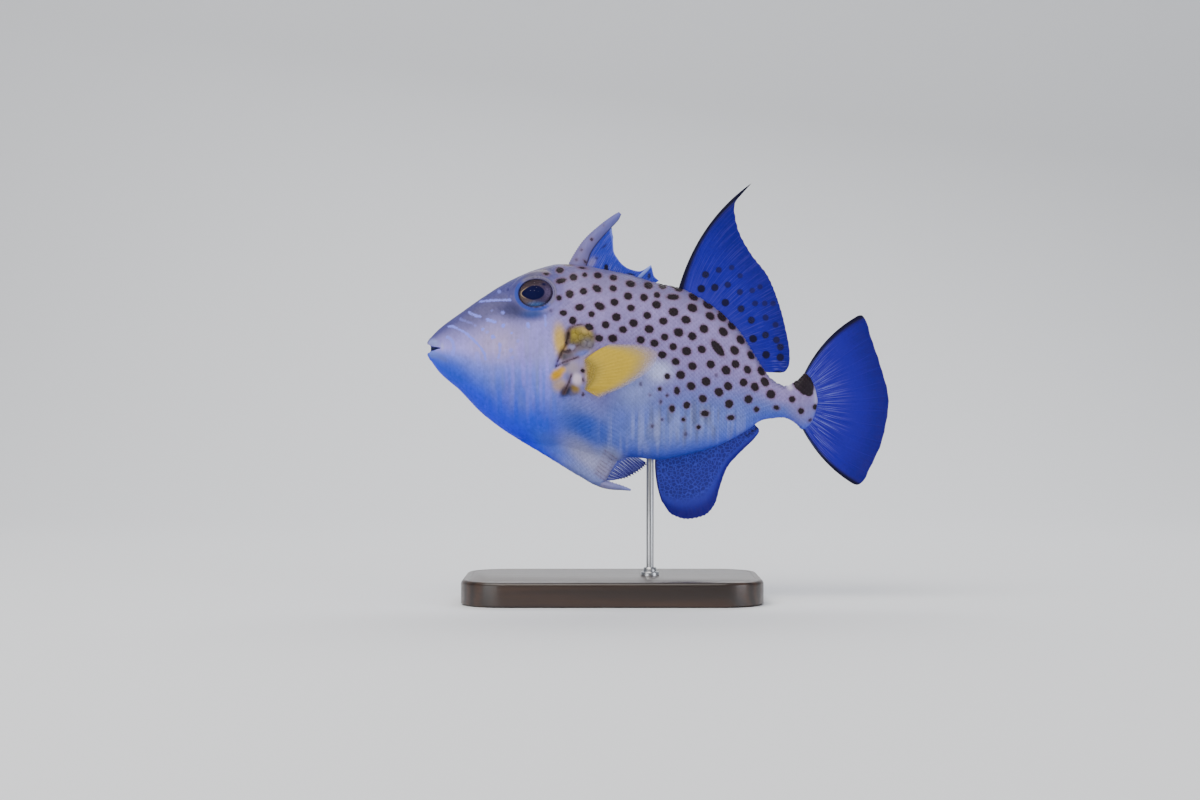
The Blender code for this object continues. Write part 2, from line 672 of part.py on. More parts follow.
def fin_sheet(form, name, finish, collection):
    """A fin as one closed sheet whose rays are ridges in its two faces."""
    columns = 2 * form.count - 1
    rows = form.rows
    points = [fin_line(form, c, columns) for c in range(columns)]
    bm = bmesh.new()
    sheets = []
    for side in (-1, 1):
        sheets.append([
            [bm.verts.new(place(*spot, swing + side * half)) for spot, swing, half in line]
            for line in points
        ])
    for grid, flip in zip(sheets, (False, True)):
        for c in range(columns - 1):
            for r in range(rows):
                a, b, d, e = grid[c][r], grid[c + 1][r], grid[c + 1][r + 1], grid[c][r + 1]
                pair = ((a, b, d), (a, d, e)) if (c + r) % 2 else ((a, b, e), (b, d, e))
                for face in pair:
                    bm.faces.new(face[::-1] if flip else face)
    near, far = sheets
    edge = [(c, 0) for c in range(columns)] + [(columns - 1, r) for r in range(1, rows + 1)]
    edge += [(c, rows) for c in range(columns - 2, -1, -1)] + [(0, r) for r in range(rows - 1, 0, -1)]
    for (c0, r0), (c1, r1) in zip(edge, edge[1:] + edge[:1]):
        bm.faces.new((near[c0][r0], far[c0][r0], far[c1][r1], near[c1][r1]))
    bmesh.ops.recalc_face_normals(bm, faces=bm.faces)
    return finish_object(name, bm, finish, collection)


def pectoral_fin(name, side, finish, collection):
    """A pectoral fin: a fan that grows from the flank and flares away from it."""
    fin = fin_sheet(PECTORAL, name, finish, collection)
    for vert in fin.data.vertices:
        distance = vert.co.x / MM - SNOUT_X
        height = min(max(vert.co.z / MM - MOUTH_Z, PECTORAL_RAYS[-1][2]), PECTORAL_RAYS[0][2])
        flank = half_width(PECTORAL_ROOT, height) - PECTORAL_SINK
        vert.co.y += side * (flank + (distance - PECTORAL_ROOT) * math.tan(PECTORAL_FLARE)) * MM
    return fin


def display_base(finish, collection):
    """Flat plate with round corners, a softened edge and a socket for the rod."""
    bm = bmesh.new()
    bmesh.ops.create_cube(bm, size=1.0)
    bmesh.ops.scale(bm, verts=bm.verts, vec=(BASE_LENGTH * MM, BASE_WIDTH * MM, BASE_HEIGHT * MM))
    bmesh.ops.translate(bm, verts=bm.verts, vec=(0, 0, BASE_HEIGHT / 2 * MM))
    upright = [e for e in bm.edges if abs(e.verts[0].co.z - e.verts[1].co.z) > MM]
    bmesh.ops.bevel(bm, geom=upright, offset=BASE_CORNER * MM, segments=6, affect="EDGES", profile=0.5)
    top = [e for e in bm.edges if all(v.co.z > (BASE_HEIGHT - 0.1) * MM for v in e.verts)]
    bmesh.ops.bevel(bm, geom=top, offset=BASE_EDGE * MM, segments=2, affect="EDGES", profile=0.5)
    base = finish_object("stand_base", bm, finish, collection)
    wall = ROD_RADIUS + GAP / MM
    socket = frustum(rod_foot(), wall, wall, ROD_SOCKET_DEPTH + 1.0, ROD_SIDES)
    return combine(base, [socket], "DIFFERENCE")


def rod_foot():
    """Bottom of the rod's socket in the base."""
    return Matrix.Translation(((SNOUT_X + ROD_DISTANCE) * MM, 0, (BASE_HEIGHT - ROD_SOCKET_DEPTH) * MM))


def display_rod(finish, collection):
    """Upright rod from the base's socket to the belly, with a ferrule over the base."""
    belly = MOUTH_Z + smooth_value(KEEL, ROD_DISTANCE)
    start = GAP / MM
    length = belly - (BASE_HEIGHT - ROD_SOCKET_DEPTH) + ROD_IN_BELLY
    rod = frustum(rod_foot(), ROD_RADIUS, ROD_RADIUS, length, ROD_SIDES, base=start)
    seat = ROD_SOCKET_DEPTH + GAP / MM
    collar = frustum(rod_foot(), FERRULE_RADIUS, FERRULE_RADIUS * 0.7, FERRULE_HEIGHT, ROD_SIDES, base=seat)
    combine(rod, [collar], "UNION")
    rod.name = "stand_rod"
    rod.data.materials.clear()
    rod.data.materials.append(finish)
    bpy.context.scene.collection.objects.unlink(rod)
    collection.objects.link(rod)
    return rod


def make_finishes():
    """A Principled material for each finish."""
    found = {}
    for name, (colour, roughness, metallic) in FINISHES.items():
        material = bpy.data.materials.new(name)
        material.use_nodes = True
        shader = material.node_tree.nodes["Principled BSDF"]
        linear = [((c + 0.055) / 1.055) ** 2.4 if c > 0.04045 else c / 12.92 for c in colour]
        shader.inputs["Base Color"].default_value = (*linear, 1.0)
        shader.inputs["Roughness"].default_value = roughness
        shader.inputs["Metallic"].default_value = metallic
        found[name] = material
    return found


def main():
    """Build the fish and its stand."""
    clear_scene()
    fish = bpy.data.collections.new("bluespotted_triggerfish")
    cutters = bpy.data.collections.new("cutters")
    for collection in (fish, cutters):
        bpy.context.scene.collection.children.link(collection)
    finish = make_finishes()

    # Flesh, parted into head, trunk and tail stalk
    whole = body_loft("whole_fish", None, cutters)
    clearance = grown_copy(whole, GAP, cutters)
    head = part_off(whole, "head", ((*HEAD_CUT, False),), finish["skin_head"], fish)
    trunk = part_off(whole, "trunk", ((*HEAD_CUT, True), (*TAIL_CUT, False)), finish["skin_trunk"], fish)
    part_off(whole, "tail_stalk", ((*TAIL_CUT, True),), finish["skin_trunk"], fish)
    bpy.data.objects.remove(whole)
    dress_head(head)
    combine(trunk, bony_plates(), "UNION")
    combine(trunk, gill_slits(), "DIFFERENCE")
    for side, name in ((-1, "eye_left"), (1, "eye_right")):
        eye = ellipsoid(eye_frame(side), (EYE_RADIUS, EYE_RADIUS, EYE_HALF_DEPTH), *EYE_FACES)
        eye.name = name
        eye.data.materials.append(finish["eye_dark"])
        bpy.context.scene.collection.objects.unlink(eye)
        fish.objects.link(eye)

    # Spines
    spine = swept_spine("dorsal_spine_first", SPINE, SPINE_SIDES, finish["bony_spine"], fish)
    spine_clearance = grown_copy(spine, GAP, cutters)
    cut_by(spine, clearance)
    pelvic = swept_spine("pelvic_spine", PELVIC_SPINE, PELVIC_SPINE_SIDES, finish["bony_spine"], fish)
    pelvic_clearance = grown_copy(pelvic, 2 * GAP, cutters)
    combine(pelvic, pelvic_barbs(), "UNION")
    cut_by(pelvic, clearance)

    # Fins
    fins = {}
    for form in (SPINY_WEB, SOFT_DORSAL, ANAL, CAUDAL, PELVIC_FLAP):
        fins[form.name] = fin_sheet(form, form.name, finish["fin_web"], fish)
        cut_by(fins[form.name], clearance)
    cut_by(fins[SPINY_WEB.name], spine_clearance)
    cut_by(fins[PELVIC_FLAP.name], pelvic_clearance)
    for side, word in ((-1, "left"), (1, "right")):
        cut_by(pectoral_fin(f"{PECTORAL.name}_{word}", side, finish["fin_yellow"], fish), clearance)

    # Stand
    display_base(finish["base_wood"], fish)
    rod = display_rod(finish["steel_rod"], fish)
    cut_by(rod, clearance)


main()
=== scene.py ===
import logging
import math
from dataclasses import dataclass, field
from enum import Enum
from typing import Any, Callable, Sequence

import bpy
import numpy as np
from bpy.types import Material, Mesh, Node, NodeSocket, NodeTree, Object
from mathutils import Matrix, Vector


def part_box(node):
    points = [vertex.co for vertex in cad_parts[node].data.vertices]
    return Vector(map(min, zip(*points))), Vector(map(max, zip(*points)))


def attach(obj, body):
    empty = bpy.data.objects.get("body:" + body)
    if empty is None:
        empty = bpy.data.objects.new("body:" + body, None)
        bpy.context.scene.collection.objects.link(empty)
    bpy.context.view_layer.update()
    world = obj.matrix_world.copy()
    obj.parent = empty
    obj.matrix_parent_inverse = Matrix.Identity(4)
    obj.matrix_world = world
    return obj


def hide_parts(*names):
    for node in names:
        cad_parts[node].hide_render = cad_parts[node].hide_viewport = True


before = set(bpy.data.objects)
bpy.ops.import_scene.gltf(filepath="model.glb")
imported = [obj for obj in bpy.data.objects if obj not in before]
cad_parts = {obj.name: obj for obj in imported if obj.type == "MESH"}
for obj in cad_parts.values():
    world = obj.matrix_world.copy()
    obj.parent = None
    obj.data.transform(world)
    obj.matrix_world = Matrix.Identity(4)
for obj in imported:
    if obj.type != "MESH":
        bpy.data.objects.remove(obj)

log = logging.getLogger("triggerfish")

MM = 0.001
BAKE_MAP = "OFBake"
# Width of one small plate on the unwrapped skin
PATCH_SCALE = 0.0015
SEED = 7

# The fish floats with its snout tip and mouth line here, in millimetres from the base's underside
SNOUT_X = -60.3
MOUTH_Z = 81.6

Pair = tuple[float, float]
Point = tuple[float, float, float]
Field = np.ndarray
Triple = tuple[Field, Field, Field]
Inputs = dict[int | str, Any] | Sequence[Any]


class Side(Enum):
    """Flank of the fish, by the sign of its Y."""

    LEFT = -1
    RIGHT = 1

    @property
    def word(self) -> str:
        """The side's name in the names of pieces."""
        return self.name.lower()


class Slot(Enum):
    """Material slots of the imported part."""

    SKIN = "skin"
    EYE = "eye"
    SPINE = "spine"
    FIN_WEB = "fin_web"
    FIN_YELLOW = "fin_yellow"
    WOOD = "base_wood"
    STEEL = "rod_steel"


def linear(code: str) -> Field:
    """Turn an sRGB hex colour, "#RRGGBB", into linear light with an alpha of 1."""
    parts = np.array([int(code[i : i + 2], 16) / 255 for i in (1, 3, 5)])
    light = np.where(parts > 0.04045, ((parts + 0.055) / 1.055) ** 2.4, parts / 12.92)
    return np.append(light, 1.0)


def ramp(value: Field, low: float, high: float) -> Field:
    """Rise smoothly from 0 at low to 1 at high, which may be below low for a fall."""
    t = np.clip((value - low) / (high - low), 0, 1)
    return t * t * (3 - 2 * t)


def blend(base: Field, other: Field, share: Field) -> Field:
    """Mix two colours or fields of colours by a field of shares."""
    return base + (other - base) * np.asarray(share)[..., None]


def hump(value: Field, at: float, half: float) -> Field:
    """Bell-shaped share: 1 at one value, falling to 0 over a few half widths."""
    return np.exp(-(((value - at) / half) ** 2))


def turned(x: Field, z: Field, degrees: float) -> tuple[Field, Field]:
    """Read places of the side view along and across a sloping axis."""
    a = math.radians(degrees)
    return x * math.cos(a) + z * math.sin(a), z * math.cos(a) - x * math.sin(a)


def drift(x: Field, y: Field, seed: int) -> Field:
    """Smooth random values over a plane, about one swell to a unit.

    Args:
        x: Places along the plane's first axis.
        y: Places along its second axis.
        seed: Which of the random planes.

    Returns:
        Values between -1 and 1.
    """
    size = 64
    table = np.random.default_rng(seed).uniform(-1, 1, (size, size))
    i, j = np.floor(x).astype(int), np.floor(y).astype(int)
    u, v = ramp(x - i, 0, 1), ramp(y - j, 0, 1)
    low = table[i % size, j % size] * (1 - u) + table[(i + 1) % size, j % size] * u
    high = table[i % size, (j + 1) % size] * (1 - u) + table[(i + 1) % size, (j + 1) % size] * u
    return low * (1 - v) + high * v


@dataclass(frozen=True)
class Gradient:
    """Colours of the flank from the keel, at 0, to the back, at 1."""

    stops: tuple[tuple[float, str], ...]

    def at(self, where: Field) -> Field:
        """Read the colours at places between the keel and the back."""
        places = [where_at for where_at, _ in self.stops]
        tones = np.array([linear(code) for _, code in self.stops])
        return np.stack([np.interp(where, places, tone) for tone in tones.T], -1)


@dataclass(frozen=True)
class Profile:
    """Smooth curve through (place, value) pairs that never overshoots them."""

    pairs: tuple[Pair, ...]

    def at(self, where: Field | float) -> Field:
        """Read the curve.

        Args:
            where: Places to read it at.

        Returns:
            Values there.
        """
        xs, ys = np.array(self.pairs).T
        where = np.clip(where, xs[0], xs[-1])
        k = np.clip(np.searchsorted(xs, where) - 1, 0, len(xs) - 2)
        span = np.diff(xs)
        slope = np.diff(ys) / span
        same = slope[:-1] * slope[1:] > 0
        total = np.where(same, slope[:-1] + slope[1:], 1.0)
        inner = np.where(same, 2 * slope[:-1] * slope[1:] / total, 0.0)
        tangent = np.concatenate(([slope[0]], inner, [slope[-1]]))
        t = (where - xs[k]) / span[k]
        rise = ys[k] * (1 + 2 * t) * (1 - t) ** 2 + ys[k + 1] * t * t * (3 - 2 * t)
        turn = tangent[k] * t * (1 - t) ** 2 - tangent[k + 1] * t * t * (1 - t)
        return rise + turn * span[k]


def place(d: Field, h: Field, y: Field) -> Field:
    """Turn distance behind the snout, height over the mouth line and side, in millimetres, into points."""
    d, h, y = np.broadcast_arrays(d, h, y)
    return np.stack([(SNOUT_X + d) * MM, y * MM, (MOUTH_Z + h) * MM], -1)


def on_fish(points: Field) -> Triple:
    """Turn points of the frame back into distance, height and side, in millimetres."""
    return points[..., 0] / MM - SNOUT_X, points[..., 2] / MM - MOUTH_Z, points[..., 1] / MM


def unit(vectors: Field) -> Field:
    """Scale vectors on the last axis to length one."""
    return vectors / np.maximum(np.linalg.norm(vectors, axis=-1, keepdims=True), 1e-12)


@dataclass(frozen=True)
class FishForm:
    """Outline and girth of the flesh, in millimetres, as in the solids."""

    back: Profile = Profile((
        (0, 1.4), (1.3, 3.2), (4.5, 6.5), (11, 11.3), (17.5, 15.9), (24, 20.1), (30.5, 23.5), (36.9, 25.9),
        (43.4, 27.3), (49, 27.2), (56.5, 25.7), (66.1, 23.6), (74, 21.2), (82.3, 19.3), (88.8, 16.2),
        (95.3, 11.7), (101.7, 5.2), (106.6, -2.6), (109.8, -7.5), (113.1, -10.9), (116.3, -12.2),
        (119.5, -11), (122.8, -8.3), (124.6, -9.6), (126.2, -13), (127, -16.6),
    ))
    keel: Profile = Profile((
        (0, -1.8), (1.3, -3.9), (4.5, -8.2), (11, -13.9), (17.5, -20.7), (24, -25.9), (30.5, -30.1),
        (36.9, -33.9), (43.4, -37.9), (49.9, -41.8), (56.4, -44.9), (58.3, -43.2), (60.3, -39.6),
        (62.8, -36.4), (66, -35.4), (70, -35.8), (75, -36.4), (82, -35.3), (88.8, -33.7), (96.9, -30.8),
        (103.4, -27.2), (109.8, -23.3), (115.6, -22.7), (119.6, -24.4), (122.2, -26.6), (124.4, -25.2),
        (126.2, -21.5), (127, -17.8),
    ))
    belly_rise: Profile = Profile(((0, 0), (26, 0), (37, 2.6), (46, 7.4), (56.4, 10), (62.8, 0), (130, 0)))
    keel_half: Profile = Profile((
        (0, 0), (26, 0), (37, 1.3), (46, 2), (57, 2), (61.5, 0.6), (64, 0), (130, 0),
    ))
    girth: Profile = Profile((
        (0, 1.6), (1.6, 2.5), (4.5, 4.3), (11, 6.6), (24, 9.5), (37, 11.6), (47, 12.7), (58, 12.5),
        (72, 10.9), (85, 8.5), (97, 6.1), (106, 4.5), (113, 3.6), (119, 3), (124, 2.1), (126.2, 1.5),
        (127, 1),
    ))
    widest: Profile = Profile((
        (0, 0), (11, -0.6), (24, 0.4), (37, 1.2), (47, 0), (60, -3), (75, -7), (90, -10.5), (105, -13.6),
        (113, -17), (127, -17.2),
    ))
    belly_roundness: Profile = Profile(((0.0, 2.0), (10.0, 1.7), (45.0, 1.75), (75.0, 1.9), (130.0, 2.0)))
    back_roundness: float = 2.25
    keel_blend: float = 3.0

    def half_width(self, d: Field, h: Field) -> Field:
        """Half width of the flesh at points of its side view.

        Args:
            d: Distances behind the snout.
            h: Heights above the mouth line.

        Returns:
            Half widths.
        """
        girth, widest, keel = self.girth.at(d), self.widest.at(d), self.keel.at(d)
        up = np.clip((h - widest) / (self.back.at(d) - widest), 0, 1)
        upper = girth * (1 - up**self.back_roundness) ** (1 / self.back_roundness)
        round_by = self.belly_roundness.at(d)
        down = np.clip((widest - h) / (widest - keel - self.belly_rise.at(d)), 0, 1)
        flesh = girth * (1 - down**round_by) ** (1 / round_by)
        half = self.keel_half.at(d)
        tip = np.clip((h - keel) / np.maximum(half, 1e-6), 0, 1)
        plate = half * np.sqrt(1 - (1 - tip) ** 2)
        lower = (flesh**self.keel_blend + plate**self.keel_blend) ** (1 / self.keel_blend)
        return np.where(h >= widest, upper, lower)

    def facing(self, d: float, h: float, side: Side) -> tuple[Field, Field, Field, Field]:
        """Place and axes of something that sits on the flank.

        Args:
            d: Distance behind the snout.
            h: Height above the mouth line.
            side: Which flank.

        Returns:
            The spot in metres, then unit vectors towards the tail, up the flank and outwards.
        """
        step = 0.4
        y = float(self.half_width(d, h))
        lean = float(self.half_width(d + step, h) - self.half_width(d - step, h)) * side.value
        rise = float(self.half_width(d, h + step) - self.half_width(d, h - step)) * side.value
        along = unit(np.array([2 * step, lean, 0.0]))
        out = unit(np.cross(along, np.array([0.0, rise, 2 * step])))
        out = out * np.sign(out[1] * side.value)
        up = unit(np.cross(out, along))
        return place(d, h, side.value * y), along, up * np.sign(up[2]), out


FORM = FishForm()
EYE_AT: Pair = (35.8, 17.3)
FAR = -5.0


@dataclass(frozen=True)
class EyeBall:
    """Front of the eyeball, a flattened dome that stands a little out of the flank."""

    radius: float = 6.2
    half_depth: float = 3.6
    bulge: float = 1.8

    def front(self, r: Field) -> Field:
        """Height of the dome over the ball's middle at distances from its axis."""
        return self.half_depth * np.sqrt(np.clip(1 - (r / self.radius) ** 2, 0, 1))

    def level(self, r: Field) -> Field:
        """Height of the dome over the flank at distances from its axis."""
        return self.front(r) - (self.half_depth - self.bulge)


EYE_BALL = EyeBall()


@dataclass(frozen=True)
class Spread:
    """Soft oval region of the flank, given in the side view."""

    d: float
    h: float
    long: float
    tall: float
    turn: float = 0.0
    edge: float = 1.0

    def weight(self, d: Field, h: Field) -> Field:
        """Share of the region at points of the side view: 1 in its middle, falling to 0."""
        along, across = turned(d - self.d, h - self.h, self.turn)
        return np.exp(-(((along / self.long) ** 2 + (across / self.tall) ** 2) ** self.edge))


@dataclass(frozen=True)
class Relief(Spread):
    """Swelling of the skin, or a hollow where the rise is negative."""

    rise: float = 0.0


@dataclass(frozen=True)
class Patch(Spread):
    """Region of another colour, broken into soft upright streaks where their spacing is given."""

    colour: str = "#808080"
    amount: float = 1.0
    spacing: float = 0.0
    length: float = 8.0
    seed: int = 1

    def over(self, tint: Field, d: Field, h: Field) -> Field:
        """Lay the patch's colour over the tints of points of the side view."""
        share = self.weight(d, h)
        if self.spacing:
            share = share * ramp(drift(d / self.spacing, h / self.length, self.seed), -0.1, 0.6)
        return blend(tint, linear(self.colour), share * self.amount)


@dataclass(frozen=True)
class Stroke:
    """Painted line through points of the side view."""

    points: tuple[Pair, ...]
    width: float
    amount: float = 1.0

    def inside(self, d: Field, h: Field) -> Field:
        """Distance inside the line's edge, negative outside it."""
        best = np.full(np.shape(d), 1e9)
        for (x0, z0), (x1, z1) in zip(self.points, self.points[1:] + self.points[-1:]):
            length = max((x1 - x0) ** 2 + (z1 - z0) ** 2, 1e-9)
            t = np.clip(((d - x0) * (x1 - x0) + (h - z0) * (z1 - z0)) / length, 0, 1)
            best = np.minimum(best, np.hypot(d - x0 - t * (x1 - x0), h - z0 - t * (z1 - z0)))
        return self.width / 2 - best


@dataclass(frozen=True)
class Spot:
    """Round or oval dark spot: its middle, its radius, how much longer than wide it is, and its slope."""

    d: float
    h: float
    radius: float
    stretch: float = 1.0
    slope: float = 0.0
    amount: float = 1.0

    def inside(self, d: Field, h: Field) -> Field:
        """Distance inside the spot's edge in the side view, negative outside it."""
        along, across = turned(d - self.d, h - self.h, self.slope)
        return self.radius - np.hypot(along / self.stretch, across)


def write_fields(mesh: Mesh, **fields: Field) -> None:
    """Store values, vectors or colours for each vertex.

    Args:
        mesh: Mesh to write to.
        **fields: Attributes by name, with one row for each vertex.
    """
    kinds = {1: ("FLOAT", "value"), 3: ("FLOAT_VECTOR", "vector"), 4: ("FLOAT_COLOR", "color")}
    for name, values in fields.items():
        values = np.ascontiguousarray(values, np.float32)
        kind, key = kinds[1 if values.ndim == 1 else values.shape[1]]
        layer = mesh.attributes.get(name) or mesh.attributes.new(name, kind, "POINT")
        layer.data.foreach_set(key, values.ravel())


def read_field(mesh: Mesh, name: str) -> Field:
    """Read a one-value attribute of the vertices."""
    values = np.zeros(len(mesh.vertices), np.float32)
    mesh.attributes[name].data.foreach_get("value", values)
    return values


def read_points(mesh: Mesh) -> Field:
    """Read a mesh's vertices as an array of points."""
    points = np.zeros(len(mesh.vertices) * 3, np.float32)
    mesh.vertices.foreach_get("co", points)
    return points.reshape(-1, 3).astype(float)


def build_mesh(
    name: str, points: Field, faces: Sequence[Sequence[int]] = (), edges: Sequence = (),
) -> Object:
    """Make a smooth-shaded mesh object.

    Args:
        name: Name of the object.
        points: Vertices in metres.
        faces: Corner numbers of each face.
        edges: Loose edges, where it has no faces.

    Returns:
        The object, linked to the scene.
    """
    mesh = bpy.data.meshes.new(name)
    mesh.from_pydata(np.asarray(points).reshape(-1, 3).tolist(), edges, faces)
    mesh.shade_smooth()
    mesh.update()
    obj = bpy.data.objects.new(name, mesh)
    bpy.context.scene.collection.objects.link(obj)
    return obj


def grid_faces(rows: int, columns: int, wrap: bool = False) -> list[tuple[int, ...]]:
    """Quads over a grid of vertices numbered row by row.

    Args:
        rows: Number of rows.
        columns: Vertices in a row.
        wrap: Whether each row closes on itself.

    Returns:
        Corner numbers of each quad.
    """
    span = columns if wrap else columns - 1
    r, c = np.meshgrid(np.arange(rows - 1), np.arange(span), indexing="ij")
    n = (c + 1) % columns
    low, high = r * columns, (r + 1) * columns
    quads = np.stack([low + c, low + n, high + n, high + c], -1)
    return [tuple(quad) for quad in quads.reshape(-1, 4).tolist()]


def face_outwards(obj: Object) -> None:
    """Turn a closed mesh the right way round if its volume comes out negative."""
    mesh = obj.data
    mesh.calc_loop_triangles()
    corners = np.zeros(len(mesh.loop_triangles) * 3, np.int32)
    mesh.loop_triangles.foreach_get("vertices", corners)
    a, b, c = (read_points(mesh)[corners.reshape(-1, 3)[:, i]] for i in range(3))
    if np.einsum("ij,ij->i", a, np.cross(b, c)).sum() < 0:
        mesh.flip_normals()


def build_loft(name: str, points: Field) -> Object:
    """Make a closed mesh from rings of vertices, with a face over its first and its last ring.

    Args:
        name: Name of the object.
        points: Vertices in metres, as rings by corners by three.

    Returns:
        The object, with its faces outwards.
    """
    rows, around = points.shape[:2]
    faces = grid_faces(rows, around, wrap=True)
    faces += [tuple(range(around))[::-1], tuple(range((rows - 1) * around, rows * around))]
    obj = build_mesh(name, points, faces)
    face_outwards(obj)
    return obj


def full_turn(count: int) -> Field:
    """Angles that share out a full turn, in radians."""
    return np.linspace(0, math.tau, count, endpoint=False)


def polygon(corners: int, first: float = 0.0) -> Field:
    """Corners of a regular polygon of radius one, from the first one's angle in degrees."""
    angles = np.radians(first + np.arange(corners) * (360 / corners))
    return np.column_stack([np.cos(angles), np.sin(angles)])


def feed(tree: NodeTree, socket: NodeSocket, value: Any) -> None:
    """Give a node's input its value.

    Args:
        tree: Node tree of the input.
        socket: The input.
        value: A value, a hex colour, an output socket, or a node, which feeds its first live output.
    """
    if isinstance(value, Node):
        value = next(output for output in value.outputs if output.enabled)
    if isinstance(value, NodeSocket):
        tree.links.new(value, socket)
    else:
        socket.default_value = linear(value) if str(value).startswith("#") else value


def add_node(tree: NodeTree, kind: str, inputs: Inputs = (), **settings: Any) -> Node:
    """Add a node with its settings, values and links.

    Args:
        tree: Node tree to add it to.
        kind: Type of the node.
        inputs: What feeds its first inputs in order, or its inputs by name or number.
        **settings: The node's own properties.

    Returns:
        The node.
    """
    node = tree.nodes.new(kind)
    for name, value in settings.items():
        setattr(node, name, value)
    for key, value in inputs.items() if isinstance(inputs, dict) else enumerate(inputs):
        feed(tree, node.inputs[key], value)
    return node


class Shade:
    """A material under construction: its tree, its shader and its object coordinates."""

    def __init__(self, name: str) -> None:
        """Start a material with a Principled shader.

        Args:
            name: Name of the finish.
        """
        self.material = bpy.data.materials.new(name)
        self.material.use_nodes = True
        self.tree = self.material.node_tree
        self.shader = self.tree.nodes["Principled BSDF"]
        self.coords = self.add("TexCoord").outputs["Object"]

    def add(self, kind: str, inputs: Inputs = (), **settings: Any) -> Node:
        """Add a shader node to the material, as add_node does."""
        return add_node(self.tree, f"ShaderNode{kind}", inputs, **settings)

    def field(self, name: str, output: str = "Fac") -> NodeSocket:
        """Output of an attribute stored on the mesh."""
        return self.add("Attribute", attribute_name=name).outputs[output]

    def finish(self, inputs: dict[str, Any]) -> Material:
        """Feed the shader's sockets, by their names, and give the material."""
        for name, value in inputs.items():
            feed(self.tree, self.shader.inputs[name], value)
        return self.material


@dataclass(frozen=True)
class ScaledSkin:
    """Damp fish skin under fine bony scales, with a soft, broad gloss and ragged edges to its spots."""

    name: str = "damp_scaled_skin"
    spot: str = "#0F0919"
    spot_warm: str = "#24151B"
    halo: str = "#72504F"
    line: str = "#8088FF"
    grain: float = 0.5
    streak: float = 0.75

    def make(self) -> Material:
        """Build the material."""
        s = Shade(self.name)
        wobble = s.add("TexNoise", {"Vector": s.coords, "Scale": 1 / (self.grain * MM), "Detail": 3.0})
        # The spot field holds the dark spots and the painted shade of the creases, both drawn in the spot
        # and halo colours.
        ragged = s.add("Math", (wobble, 0.7, s.field("spot")), operation="MULTIPLY_ADD")
        inside = s.add("MapRange", (ragged, 0.18, 0.62), interpolation_type="SMOOTHSTEP")
        around = s.add("MapRange", (ragged, -0.25, 0.4, 0, 0.55))
        stretched = s.add("Mapping", {"Vector": s.coords, "Scale": (1.0, 1.0, 0.12)})
        streaks = s.add("TexNoise", {"Vector": stretched, "Scale": 1 / (self.streak * MM), "Detail": 4.0})
        cloudy = s.add("TexNoise", {"Vector": s.coords, "Scale": 1 / (6 * MM), "Detail": 3.0})
        light = s.add("MapRange", (streaks, 0.3, 0.7, 0.93, 1.06))
        light = s.add("Math", (s.field("shade"), 0.05, light), operation="MULTIPLY_ADD")
        mottle = s.add("MapRange", (cloudy, 0.3, 0.7, 0.94, 1.06))
        light = s.add("Math", (light, mottle), operation="MULTIPLY")
        ground = s.add("VectorMath", {0: s.field("tint", "Color"), "Scale": light}, operation="SCALE")
        broken = s.add("Math", (cloudy, 1.2, s.field("line")), operation="MULTIPLY_ADD")
        broken = s.add("Math", (wobble, 1.0, broken), operation="MULTIPLY_ADD")
        lined = s.add("MapRange", (broken, 0.85, 1.35), interpolation_type="SMOOTHSTEP")
        lined = s.add("Math", (lined, s.field("line_share")), operation="MULTIPLY")
        colour = s.add("Mix", {0: lined, 6: ground, 7: self.line}, data_type="RGBA")
        around = s.add("Math", (around, s.field("dark_share")), operation="MULTIPLY")
        inside = s.add("Math", (inside, s.field("dark_share")), operation="MULTIPLY")
        colour = s.add("Mix", {0: around, 6: colour, 7: self.halo}, data_type="RGBA")
        dark = s.add("Mix", {0: cloudy, 6: self.spot, 7: self.spot_warm}, data_type="RGBA")
        colour = s.add("Mix", {0: inside, 6: colour, 7: dark}, data_type="RGBA")
        rough = s.add("MapRange", (wobble, 0.3, 0.7, 0.4, 0.6))
        pores = s.add(
            "TexVoronoi", {"Vector": s.coords, "Scale": 1 / (0.75 * MM)}, feature="DISTANCE_TO_EDGE",
        )
        height = s.add("Math", (pores, wobble), operation="MULTIPLY")
        bump = s.add("Bump", {"Strength": 0.25, "Distance": 0.1 * MM, "Height": height})
        return s.finish({
            "Base Color": colour,
            "Roughness": rough,
            "Normal": bump,
            "Specular IOR Level": 0.2,
            "Subsurface Weight": 0.1,
            "Subsurface Radius": (1.0, 0.7, 0.9),
            "Subsurface Scale": 0.5 * MM,
            "Coat Weight": 0.03,
            "Coat Roughness": 0.25,
        })


